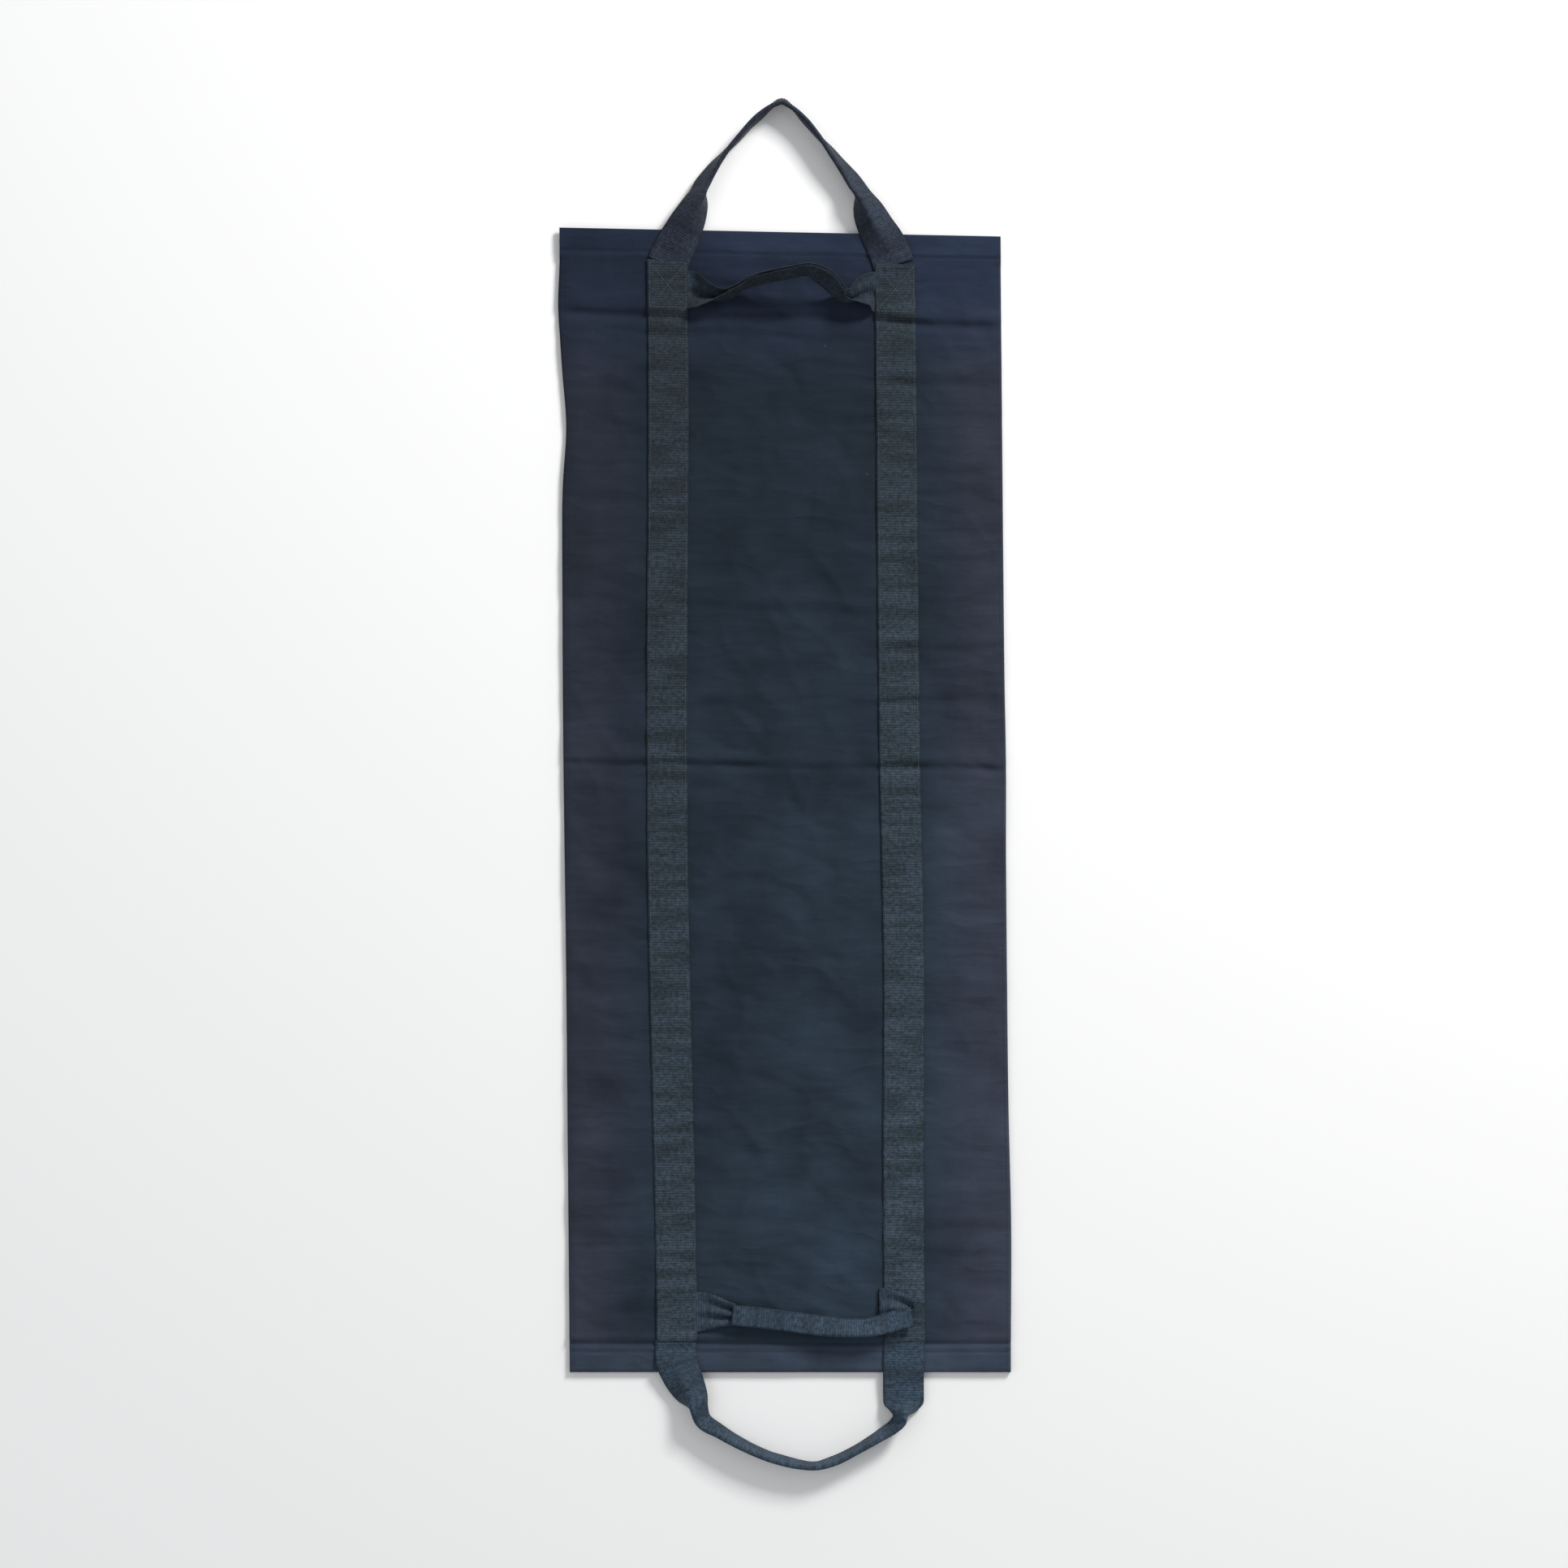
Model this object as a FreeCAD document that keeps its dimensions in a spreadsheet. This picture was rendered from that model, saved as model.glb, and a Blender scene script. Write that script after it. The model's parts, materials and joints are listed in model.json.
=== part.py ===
"""Empty sandbag: a flat two-ply canvas bag with two full-length webbing straps that run on
into a carry handle at each end, a crosswise grab handle near each end, and a hook-and-loop mouth.

It lies on its back, strap side up. +Z is up, +Y points to the mouth end, +X to the right.
The origin is on the underside of the back panel, at the middle of the bag. Lengths are in mm.
"""
import FreeCAD, Part
import os
import Sketcher

doc = FreeCAD.newDocument("sandbag")
sheet = doc.addObject("Spreadsheet::Sheet", "sizes")

SIZES = [
    # the bag
    ("bag_width", 410, "across, seam edge to seam edge"),
    ("bag_length", 1060, "mouth edge to closed end"),
    ("fold_y", 33, "the crease that the bag folds along, above the middle"),
    ("split", 0.5, "half the gap left at the crease"),
    ("cloth", 1, "thickness of the canvas"),
    ("hem_ply", 0.8, "cloth turned in at a hem"),
    ("seam", 6, "width of the seam allowances turned in at the sides"),
    ("front_z", 4.5, "underside of the front panel"),
    ("mouth_hem", 21.5, "depth of the hem at the mouth"),
    ("end_hem", 27, "depth of the hem at the closed end"),
    ("lip_notch", 2.5, "how much narrower the mouth hem is at each side"),
    ("lip_gap", 0.3, "gap along the fold of the back lip"),
    # webbing
    ("web_width", 38, "width of the webbing"),
    ("web", 1.5, "thickness of the webbing"),
    ("strap_x", 106, "centre of each strap from the middle of the bag"),
    ("box_inset", 28, "outer line of the box stitching, inside the bag's end"),
    ("box_length", 52, "raised end of the strap that carries the box stitching"),
    ("box_lap", 5, "how far the raised end laps the flat strap"),
    # sewn ends of the grab handles
    ("tab", 0.8, "thickness of a handle end under the strap"),
    ("tab_inset", 36, "outer edge of the handle end, inside the bag's end"),
    ("flare", 3.5, "thickness of the gathered webbing beside the strap"),
    ("side_gap", 0.5, "gap between the gathered webbing and the strap's edge"),
    ("tab_short", 1, "how far a handle end stops inside the strap's outer edge"),
    ("tab_rise", 3, "webbing that turns up round the strap's edge"),
    ("tab_over", 0.3, "gap between the strap and the end doubled back over it"),
    ("swing_gap", 1, "gap between the top grab handle's swing line and its gathered ends"),
    # folded grips
    ("grip_width", 19, "webbing folded in half"),
    ("grip", 3.5, "thickness of the folded webbing"),
    # carry handles
    ("root_y", 503.5, "where a carry handle leaves the box stitching"),
    ("leg_z", 6, "underside of a carry handle's leg"),
    ("edge_z", 0.5, "lower edge of the grip, which stands on edge"),
    # top grab handle: an arch that leans towards the mouth
    ("top_hinge_y", 466, "line that the top grab handle swings about"),
    ("top_hinge_z", 8, "its height"),
    ("top_lean", 52, "slope of the arch, in degrees"),
    ("top_kink_x", 25, "peak of the arch"),
    ("top_kink", 30.5, "height of the peak's lower edge, along the slope"),
    ("top_kink_half", 3, "half the length of the peak's flat upper edge"),
    ("top_peak_rise", 49.5, "height of the peak's upper edge, along the slope"),
    ("top_shoulder_x", 23, "a point of the arch's left half, left of the middle"),
    ("top_shoulder", 20.5, "height of the lower edge there"),
    ("top_shoulder_rise", 42.3, "height of the upper edge there"),
    ("top_rise", 21.8, "grip's extent along the slope at its two ends"),
    ("top_left_x", 46.5, "left end of the grip, from the middle"),
    ("top_right_x", 53.5, "right end of the grip"),
    ("top_left_flare", 47.5, "where the left end is gathered to the grip"),
    ("top_right_flare", 54.5, "where the right end is gathered to the grip"),
    # bottom grab handle: a grip that lies over to the right
    ("low_hinge_y", 460, "line that the bottom grab handle swings about, below the middle"),
    ("low_hinge_z", 11.5, "its height"),
    ("low_lean", 6, "slope of the grip, in degrees"),
    ("low_bow_x", 55, "place of the grip's deepest bow"),
    ("low_bow", 8, "depth of that bow"),
    ("low_start", 7, "near edge of the grip's left end, from its swing line"),
    ("low_finish", 9.5, "near edge of the grip's right end, from its swing line"),
    ("low_left_x", 51.5, "left end of the grip, from the middle"),
    ("low_right_x", 114, "right end of the grip"),
    ("low_flare_end", 52.5, "where the left end is gathered to the grip"),
    ("fold_x", 110, "turn of the doubled-back end, over the right strap"),
    ("fold_inset", 38, "outer edge of the doubled-back end, inside the bag's end"),
    # top carry handle, drawn up to a peak
    ("top_waist_y", 561, "where its legs begin to fold in half"),
    ("top_waist_in", 66.5, "inner edge of the legs there"),
    ("top_waist_out", 87.5, "outer edge of the legs there"),
    ("top_throat_y", 576, "where the fold is complete"),
    ("top_throat_in", 70, "inner edge of the grip there"),
    ("top_throat_out", 84, "outer edge of the grip there"),
    ("top_lap", 3, "how far the edgewise grip reaches back into the leg"),
    ("top_bend_y", 606, "where the grip has turned on edge"),
    ("top_bend_in", 48.5, "inner edge of the grip there"),
    ("top_bend_out", 56, "outer edge of the grip there"),
    ("top_peak", 655, "outer edge of the peak"),
    ("top_peak_in", 645, "inner edge of the peak"),
    # bottom carry handle, hanging in a lopsided bow
    ("low_waist_y", 564, "where its legs begin to fold in half, below the middle"),
    ("low_left_out", 90, "outer edge of the left leg there"),
    ("low_left_in", 67, "inner edge of the left leg there"),
    ("low_right_in", 91, "inner edge of the right leg there"),
    ("low_right_out", 124, "outer edge of the right leg there"),
    ("low_throat", 8, "from there to where the fold is complete"),
    ("low_lap", 4, "from there to where the edgewise grip begins"),
    ("low_neck", 15, "how far the legs draw in over that length"),
    ("low_mid_x", 22, "a point of the bow's left half, left of the middle"),
    ("low_mid_y", 600, "its distance below the middle"),
    ("low_peak_x", 29, "lowest point of the bow"),
    ("low_flat", 12, "half the length of the bow's lowest stretch"),
    ("low_peak", 619, "its outer edge"),
    ("low_peak_in", 612, "its inner edge"),
    # hook and loop
    ("tape_width", 16, "width of the hook and loop tapes"),
    ("tape_length", 380, "length of the hook and loop tapes"),
    ("tape", 0.8, "thickness of each tape"),
    ("tape_inset", 2.5, "tape edge inside the mouth edge"),
    # thread
    ("thread", 0.8, "width of a row of stitches"),
    ("thread_rise", 0.3, "how far a row stands above the cloth"),
    ("row_inset", 2.5, "row of stitches from the webbing's edge"),
    ("side_row_inset", 4, "row of stitches from the bag's side edge"),
    ("row_short", 1, "how far a row stops short of what ends it"),
]

for row, (name, value, meaning) in enumerate(SIZES, start=1):
    sheet.set(f"A{row}", name)
    sheet.set(f"B{row}", str(value))
    sheet.setAlias(f"B{row}", name)
    sheet.set(f"C{row}", meaning)
doc.recompute()

# heights and lines worked out from the sizes, as expressions
TOP_Z = "(sizes.front_z + sizes.cloth)"
STRAP_TOP = f"({TOP_Z} + sizes.web)"
BOX_Z = f"({TOP_Z} + sizes.tab)"
BOX_TOP = f"({BOX_Z} + sizes.web)"
END_Y = "(sizes.bag_length / 2)"
LIP_Y = f"({END_Y} - sizes.mouth_hem)"
BOX_Y = f"({END_Y} - sizes.box_inset)"
TAB_Y = f"({END_Y} - sizes.tab_inset)"
STRAP_IN = "(sizes.strap_x - sizes.web_width / 2)"
STRAP_OUT = "(sizes.strap_x + sizes.web_width / 2)"
HALF_WIDTH = "(sizes.bag_width / 2)"

parts = []


def keep(obj, label):
    """Names a finished sub-part; the label is its file name."""
    obj.Label = label
    parts.append(obj)
    return obj


def block(name, low, high):
    """A box between two corners, each given as three expressions."""
    obj = doc.addObject("Part::Box", name)
    for prop, a, b in zip(("Length", "Width", "Height"), low, high):
        obj.setExpression(prop, f"({b}) - ({a})")
    for axis, a in zip("xyz", low):
        obj.setExpression(f"Placement.Base.{axis}", a)
    return obj


def group(label, blocks):
    """Several separate solids of one kind in one sub-part."""
    obj = doc.addObject("Part::Compound", label)
    obj.Links = blocks
    return keep(obj, label)


def origin_plane(body):
    """The body's own XY plane."""
    return [o for o in body.Origin.OriginFeatures if o.Role == "XY_Plane"][0]


def outline(body, name, loops, z):
    """A sketch of closed straight-sided loops at height z; each point is a pair of expressions."""
    sketch = body.newObject("Sketcher::SketchObject", name)
    sketch.AttachmentSupport = (origin_plane(body), [""])
    sketch.MapMode = "FlatFace"
    sketch.setExpression("AttachmentOffset.Base.z", z)
    start = FreeCAD.Vector(0, 0, 0)
    for loop in loops:
        points = [FreeCAD.Vector(number(x), number(y), 0) for x, y in loop]
        first = sketch.GeometryCount
        count = len(points)
        for i in range(count):
            sketch.addGeometry(Part.LineSegment(points[i], points[(i + 1) % count]), False)
        for i in range(count):
            following = first + (i + 1) % count
            sketch.addConstraint(Sketcher.Constraint("Coincident", first + i, 2, following, 1))
        for i, pair in enumerate(loop):
            for kind, value, expression in zip(("DistanceX", "DistanceY"), points[i] - start, pair):
                index = sketch.addConstraint(
                    Sketcher.Constraint(kind, -1, 1, first + i, 1, value)
                )
                sketch.setExpression(f"Constraints[{index}]", expression)
    return sketch


def number(expression):
    """The present value of an expression over the sheet."""
    value = sheet.evalExpression(expression)
    return float(getattr(value, "Value", value))


def rectangle(low, high):
    """Corner points of an upright rectangle, from two corners given as expressions."""
    return [(low[0], low[1]), (high[0], low[1]), (high[0], high[1]), (low[0], high[1])]


def new_body(label):
    body = doc.addObject("PartDesign::Body", label)
    return keep(body, label)


def pad(body, name, loops, z, height):
    """Pads closed loops upwards from height z."""
    sketch = outline(body, f"{name}_outline", loops, z)
    feature = body.newObject("PartDesign::Pad", name)
    feature.Profile = sketch
    feature.setExpression("Length", height)
    doc.recompute()
    return feature


def mirrored_pair(side, low_x, high_x):
    """The x range of something at one side of the middle: side is -1 for left and 1 for right."""
    if side > 0:
        return low_x, high_x
    return f"-({high_x})", f"-({low_x})"


# ---------------------------------------------------------------- canvas panels

def front_panel(label, y_low, y_high, hem_low, hem_high, closed_end):
    """Outer ply with the hem turned in along one end, and the seam allowances down both sides."""
    body = new_body(label)
    edge = HALF_WIDTH
    notch = f"({edge} - sizes.lip_notch)"
    if closed_end:
        shape = rectangle((f"-{edge}", y_low), (edge, y_high))
        inner = edge
    else:
        inner = notch
        shape = [
            (f"-{edge}", y_low), (edge, y_low), (edge, hem_low), (notch, hem_low),
            (notch, y_high), (f"-{notch}", y_high), (f"-{notch}", hem_low), (f"-{edge}", hem_low),
        ]
    pad(body, f"{label}_ply", [shape], "sizes.front_z", "sizes.cloth")
    hem = rectangle((f"-{inner} + sizes.seam", hem_low), (f"{inner} - sizes.seam", hem_high))
    pad(body, f"{label}_hem", [hem], "sizes.front_z - sizes.hem_ply", "sizes.hem_ply")


def back_panel(label, y_low, y_high, closed_end):
    """Outer ply with the side seam allowances standing up to the front panel."""
    body = new_body(label)
    edge = HALF_WIDTH
    inner = f"({edge} - sizes.seam)"
    pad(body, f"{label}_ply", [rectangle((f"-{edge}", y_low), (edge, y_high))], "0", "sizes.cloth")
    if closed_end:
        walls = [[
            (f"-{edge}", y_low), (edge, y_low), (edge, y_high), (inner, y_high),
            (inner, f"{y_low} + sizes.seam"), (f"-{inner}", f"{y_low} + sizes.seam"),
            (f"-{inner}", y_high), (f"-{edge}", y_high),
        ]]
    else:
        walls = [
            rectangle((f"-{edge}", y_low), (f"-{inner}", y_high)),
            rectangle((inner, y_low), (edge, y_high)),
        ]
    pad(body, f"{label}_seams", walls, "sizes.cloth", "sizes.front_z - sizes.cloth")


UPPER_LOW = "(sizes.fold_y + sizes.split)"
LOWER_HIGH = "(sizes.fold_y - sizes.split)"
CLOSED_Y = f"(-{END_Y})"
front_panel("front_panel_upper", UPPER_LOW, END_Y, LIP_Y, END_Y, closed_end=False)
front_panel("front_panel_lower", CLOSED_Y, LOWER_HIGH, f"{CLOSED_Y} + sizes.seam",
            f"{CLOSED_Y} + sizes.end_hem", closed_end=True)
back_panel("back_panel_upper", UPPER_LOW, f"({LIP_Y} - sizes.lip_gap)", closed_end=False)
back_panel("back_panel_lower", CLOSED_Y, LOWER_HIGH, closed_end=True)

# ---------------------------------------------------------------- mouth

LIP_X = f"({HALF_WIDTH} - sizes.lip_notch)"
lip = new_body("mouth_lip")
lip_low = f"({LIP_Y} + sizes.lip_gap)"
pad(lip, "lip_ply", [rectangle((f"-{LIP_X}", lip_low), (LIP_X, END_Y))], "0", "sizes.cloth")
lip_fold = rectangle((f"-{LIP_X} + sizes.seam", lip_low), (f"{LIP_X} - sizes.seam", END_Y))
pad(lip, "lip_hem", [lip_fold], "sizes.cloth", "sizes.hem_ply")

TAPE_LOW = ("-sizes.tape_length / 2", f"{END_Y} - sizes.tape_inset - sizes.tape_width")
TAPE_HIGH = ("sizes.tape_length / 2", f"{END_Y} - sizes.tape_inset")
hook_z = "(sizes.cloth + sizes.hem_ply)"
keep(block("hook", (*TAPE_LOW, hook_z), (*TAPE_HIGH, f"{hook_z} + sizes.tape")), "hook_tape")
loop_z = "(sizes.front_z - sizes.hem_ply)"
keep(block("loop", (*TAPE_LOW, f"{loop_z} - sizes.tape"), (*TAPE_HIGH, loop_z)), "loop_tape")

# ---------------------------------------------------------------- straps


def strap(label, side, end, y_crease):
    """Webbing from the crease to the box stitching, its end raised over the grab handle's end."""
    body = new_body(label)
    x_low, x_high = mirrored_pair(side, STRAP_IN, STRAP_OUT)
    raised = f"{end} * ({BOX_Y} - sizes.box_length)"
    lap = f"{end} * ({BOX_Y} - sizes.box_length + sizes.box_lap)"
    box_end = f"{end} * {BOX_Y}"
    flat = [(x_low, y_crease), (x_high, y_crease), (x_high, lap), (x_low, lap)]
    top = [(x_low, raised), (x_high, raised), (x_high, box_end), (x_low, box_end)]
    pad(body, f"{label}_flat", [flat], TOP_Z, "sizes.web")
    pad(body, f"{label}_end", [top], BOX_Z, "sizes.web")


for side, side_name in ((-1, "left"), (1, "right")):
    strap(f"{side_name}_strap_upper", side, 1, UPPER_LOW)
    strap(f"{side_name}_strap_lower", side, -1, LOWER_HIGH)

# ---------------------------------------------------------------- sewn ends of the grab handles


def flared_tab(name, side, end, reach, grip_near, grip_far):
    """One handle end: a ply under the strap, then the webbing gathered down to the grip at reach.
    Near and far are the grip's edges towards the middle of the bag and towards its end."""
    tab_low = f"({TAB_Y} - sizes.web_width)"
    x_low, x_high = mirrored_pair(side, STRAP_IN, f"({STRAP_OUT} - sizes.tab_short)")
    y_low, y_high = mirrored_pair(end, tab_low, TAB_Y)
    under = block(f"{name}_under", (x_low, y_low, TOP_Z), (x_high, y_high, BOX_Z))
    body = doc.addObject("PartDesign::Body", f"{name}_flare")
    wide = f"{side} * ({STRAP_IN} - sizes.side_gap)"
    narrow = f"{side} * ({reach})"
    joined = f"{side} * {STRAP_IN}"
    throat = [
        (wide, f"{end} * {tab_low}"), (wide, f"{end} * {TAB_Y}"),
        (narrow, grip_far), (narrow, grip_near),
    ]
    pad(body, f"{name}_gather", [throat], TOP_Z, "sizes.flare")
    lead = [
        (joined, f"{end} * {tab_low}"), (joined, f"{end} * {TAB_Y}"),
        (wide, f"{end} * {TAB_Y}"), (wide, f"{end} * {tab_low}"),
    ]
    pad(body, f"{name}_lead", [lead], TOP_Z, "sizes.tab")
    both = doc.addObject("Part::MultiFuse", name)
    both.Shapes = [under, body]
    both.Refine = True
    return both


def folded_tab(name, x_fold, y_low, y_high):
    """The end that doubles back: under the strap, up round its edge and over the top of it."""
    inner = f"({STRAP_IN} - sizes.side_gap)"
    outer = f"({inner} - sizes.tab_rise)"
    over_low = f"({BOX_TOP} + sizes.tab_over)"
    over_high = f"({over_low} + sizes.web)"
    under = block(f"{name}_under", (outer, y_low, TOP_Z), (f"{STRAP_OUT} - sizes.tab_short", y_high, BOX_Z))
    rise = block(f"{name}_rise", (outer, y_low, TOP_Z), (inner, y_high, over_high))
    over = block(f"{name}_over", (outer, y_low, over_low), (x_fold, y_high, over_high))
    joined = doc.addObject("Part::MultiFuse", name)
    joined.Shapes = [under, rise, over]
    joined.Refine = True
    return joined


top_near = "(sizes.top_hinge_y + sizes.swing_gap)"
top_far = f"({top_near} + sizes.grip_width)"
left_top = flared_tab("top_left_end", -1, 1, "sizes.top_left_flare", top_near, top_far)
right_top = flared_tab("top_right_end", 1, 1, "sizes.top_right_flare", top_near, top_far)
group("top_grab_ends", [left_top, right_top])

low_near = "(-sizes.low_hinge_y - sizes.low_start)"
low_far = f"({low_near} - sizes.grip_width)"
left_low = flared_tab("bottom_left_end", -1, -1, "sizes.low_flare_end", low_near, low_far)
fold_low = f"(-{END_Y} + sizes.fold_inset)"
fold_high = f"-({TAB_Y} - sizes.web_width)"
right_low = folded_tab("bottom_right_end", "sizes.fold_x", fold_low, fold_high)
group("bottom_grab_ends", [left_low, right_low])

# ---------------------------------------------------------------- grips of the grab handles


def leaning_grip(label, points, hinge_y, hinge_z, lean):
    """A flat band drawn about its own swing line, then leant up from the face by an angle."""
    body = new_body(label)
    pad(body, f"{label}_band", [points], "-sizes.grip / 2", "sizes.grip")
    body.Placement.Rotation = FreeCAD.Rotation(FreeCAD.Vector(1, 0, 0), number(lean))
    body.setExpression("Placement.Rotation.Angle", f"{lean} * 1 deg")
    body.setExpression("Placement.Base.y", hinge_y)
    body.setExpression("Placement.Base.z", hinge_z)


leaning_grip(
    "top_grab_handle",
    [
        ("-sizes.top_left_x", "0"), ("-sizes.top_shoulder_x", "sizes.top_shoulder"),
        ("sizes.top_kink_x", "sizes.top_kink"),
        ("sizes.top_right_x", "0"), ("sizes.top_right_x", "sizes.top_rise"),
        ("sizes.top_kink_x + sizes.top_kink_half", "sizes.top_peak_rise"),
        ("sizes.top_kink_x - sizes.top_kink_half", "sizes.top_peak_rise"),
        ("-sizes.top_shoulder_x", "sizes.top_shoulder_rise"),
        ("-sizes.top_left_x", "sizes.top_rise"),
    ],
    "sizes.top_hinge_y", "sizes.top_hinge_z", "sizes.top_lean",
)
low_bow_near = "-(sizes.low_start + sizes.low_bow)"
leaning_grip(
    "bottom_grab_handle",
    [
        ("-sizes.low_left_x", "-sizes.low_start - sizes.grip_width"),
        ("sizes.low_bow_x", f"{low_bow_near} - sizes.grip_width"),
        ("sizes.low_right_x", "-sizes.low_finish - sizes.grip_width"),
        ("sizes.low_right_x", "-sizes.low_finish"),
        ("sizes.low_bow_x", low_bow_near),
        ("-sizes.low_left_x", "-sizes.low_start"),
    ],
    "-sizes.low_hinge_y", "sizes.low_hinge_z", "-sizes.low_lean",
)

# ---------------------------------------------------------------- carry handles


def carry_handle(label, legs, grip):
    """Two flat legs and, standing on edge between them, the webbing folded in half."""
    body = new_body(label)
    pad(body, f"{label}_grip", [grip], "sizes.edge_z", "sizes.grip_width")
    pad(body, f"{label}_legs", legs, "sizes.leg_z", "sizes.web")


def leg_and_edges(sign):
    """The top handle's leg, grip outer edge and grip inner edge on one side."""
    def at(x, y):
        return (f"{sign} * ({x})", y)
    leg = [
        at(STRAP_OUT, "sizes.root_y"), at("sizes.top_waist_out", "sizes.top_waist_y"),
        at("sizes.top_throat_out", "sizes.top_throat_y"),
        at("sizes.top_throat_in", "sizes.top_throat_y"),
        at("sizes.top_waist_in", "sizes.top_waist_y"), at(STRAP_IN, "sizes.root_y"),
    ]
    outer = [at("sizes.top_throat_out - sizes.top_lap", "sizes.top_throat_y - sizes.top_lap"),
             at("sizes.top_bend_out", "sizes.top_bend_y")]
    inner = [at("sizes.top_bend_in", "sizes.top_bend_y"),
             at("sizes.top_throat_in + sizes.top_lap", "sizes.top_throat_y - sizes.top_lap")]
    return leg, outer, inner


left_leg, left_outer, left_inner = leg_and_edges(-1)
right_leg, right_outer, right_inner = leg_and_edges(1)
carry_handle(
    "top_carry_handle",
    [left_leg, right_leg],
    [*left_outer, ("0", "sizes.top_peak"), *reversed(right_outer),
     *reversed(right_inner), ("0", "sizes.top_peak_in"), *left_inner],
)

low_waist = "-sizes.low_waist_y"
low_throat = f"({low_waist} - sizes.low_throat)"
low_inside = f"({low_waist} - sizes.low_lap)"
half_grip = "sizes.grip / 2"
carry_handle(
    "bottom_carry_handle",
    [
        [(f"-{STRAP_OUT}", "-sizes.root_y"), (f"-{STRAP_IN}", "-sizes.root_y"),
         ("-sizes.low_left_in", low_waist), ("-sizes.low_left_in", low_throat),
         ("-sizes.low_left_out + sizes.low_neck / 2", low_throat), ("-sizes.low_left_out", low_waist)],
        [(STRAP_IN, "-sizes.root_y"), (STRAP_OUT, "-sizes.root_y"),
         ("sizes.low_right_out", low_waist), ("sizes.low_right_out - sizes.low_neck", low_throat),
         ("sizes.low_right_in + sizes.low_neck / 2", low_throat), ("sizes.low_right_in", low_waist)],
    ],
    [
        ("-sizes.low_left_out + sizes.low_neck / 2", low_inside), ("-sizes.low_left_in", low_inside),
        ("-sizes.low_mid_x", f"-sizes.low_mid_y + {half_grip}"),
        ("sizes.low_peak_x", "-sizes.low_peak_in"),
        ("sizes.low_right_in + sizes.low_neck / 2", low_inside),
        ("sizes.low_right_out - sizes.low_neck", low_inside),
        ("sizes.low_peak_x + sizes.low_flat", "-sizes.low_peak"),
        ("sizes.low_peak_x - sizes.low_flat", "-sizes.low_peak"),
        ("-sizes.low_mid_x", f"-sizes.low_mid_y - {half_grip}"),
    ],
)

# ---------------------------------------------------------------- thread


def row_along(name, x, y_low, y_high, z):
    """A row of stitches along the bag, centred on x."""
    return block(name, (f"{x} - sizes.thread / 2", y_low, z),
                 (f"{x} + sizes.thread / 2", y_high, f"{z} + sizes.thread_rise"))


def row_across(name, x_low, x_high, y, z):
    """A row of stitches across the bag, centred on y."""
    return block(name, (x_low, f"{y} - sizes.thread / 2", z),
                 (x_high, f"{y} + sizes.thread / 2", f"{z} + sizes.thread_rise"))


def strap_rows(label, end, y_crease):
    """Both edge rows of both straps, from the crease to the raised end."""
    raised = f"({end} * ({BOX_Y} - sizes.box_length - sizes.row_short))"
    y_low, y_high = (y_crease, raised) if end > 0 else (raised, y_crease)
    edges = (f"{STRAP_IN} + sizes.row_inset", f"{STRAP_OUT} - sizes.row_inset")
    group(label, [row_along(f"{label}_{side + 1}{edge}", f"{side} * ({x})", y_low, y_high, STRAP_TOP)
                  for side in (-1, 1) for edge, x in enumerate(edges)])


def side_rows(label, y_low, y_high):
    """One row down each side edge of the bag."""
    x = f"({HALF_WIDTH} - sizes.side_row_inset)"
    group(label, [row_along(f"{label}_{side + 1}", f"{side} * {x}", y_low, y_high, TOP_Z)
                  for side in (-1, 1)])


def box_patch(name, side, end):
    """A square of stitches on the raised end of a strap."""
    x_low, x_high = mirrored_pair(side, f"({STRAP_IN} + sizes.row_inset)",
                                  f"({STRAP_OUT} - sizes.row_inset)")
    near = f"({BOX_Y} - sizes.box_length + sizes.row_inset + sizes.box_lap)"
    y_low, y_high = mirrored_pair(end, near, f"({BOX_Y} - sizes.row_inset)")
    half = "sizes.thread / 2"
    return [
        row_along(f"{name}_left", x_low, f"{y_low} + {half}", f"{y_high} - {half}", BOX_TOP),
        row_along(f"{name}_right", x_high, f"{y_low} + {half}", f"{y_high} - {half}", BOX_TOP),
        row_across(f"{name}_low", f"{x_low} - {half}", f"{x_high} + {half}", y_low, BOX_TOP),
        row_across(f"{name}_high", f"{x_low} - {half}", f"{x_high} + {half}", y_high, BOX_TOP),
    ]


for end, end_name in ((1, "top"), (-1, "bottom")):
    patches = [edge for side in (-1, 1) for edge in box_patch(f"{end_name}_box_{side + 1}", side, end)]
    group(f"{end_name}_box_stitching", patches)

strap_rows("strap_stitching_upper", 1, UPPER_LOW)
strap_rows("strap_stitching_lower", -1, LOWER_HIGH)
side_rows("side_stitching_upper", UPPER_LOW, f"{LIP_Y} - 2 * sizes.row_short")
side_rows("side_stitching_lower", f"{CLOSED_Y} + sizes.row_short", LOWER_HIGH)
edge_x = f"({LIP_X} - sizes.row_short)"
keep(row_across("top_hem_row", f"-{edge_x}", edge_x, f"({LIP_Y} + sizes.row_short)", TOP_Z),
     "top_hem_stitching")
seam_x = f"({HALF_WIDTH} - sizes.side_row_inset - sizes.row_short)"
keep(row_across("bottom_hem_row", f"-{seam_x}", seam_x, f"({CLOSED_Y} + sizes.end_hem)", TOP_Z),
     "bottom_hem_stitching")

# ---------------------------------------------------------------- check and write

doc.recompute()
for obj in doc.Objects:
    if "Invalid" in obj.State or "Error" in obj.State:
        raise RuntimeError(f"{obj.Label} failed: {obj.State}")

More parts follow.
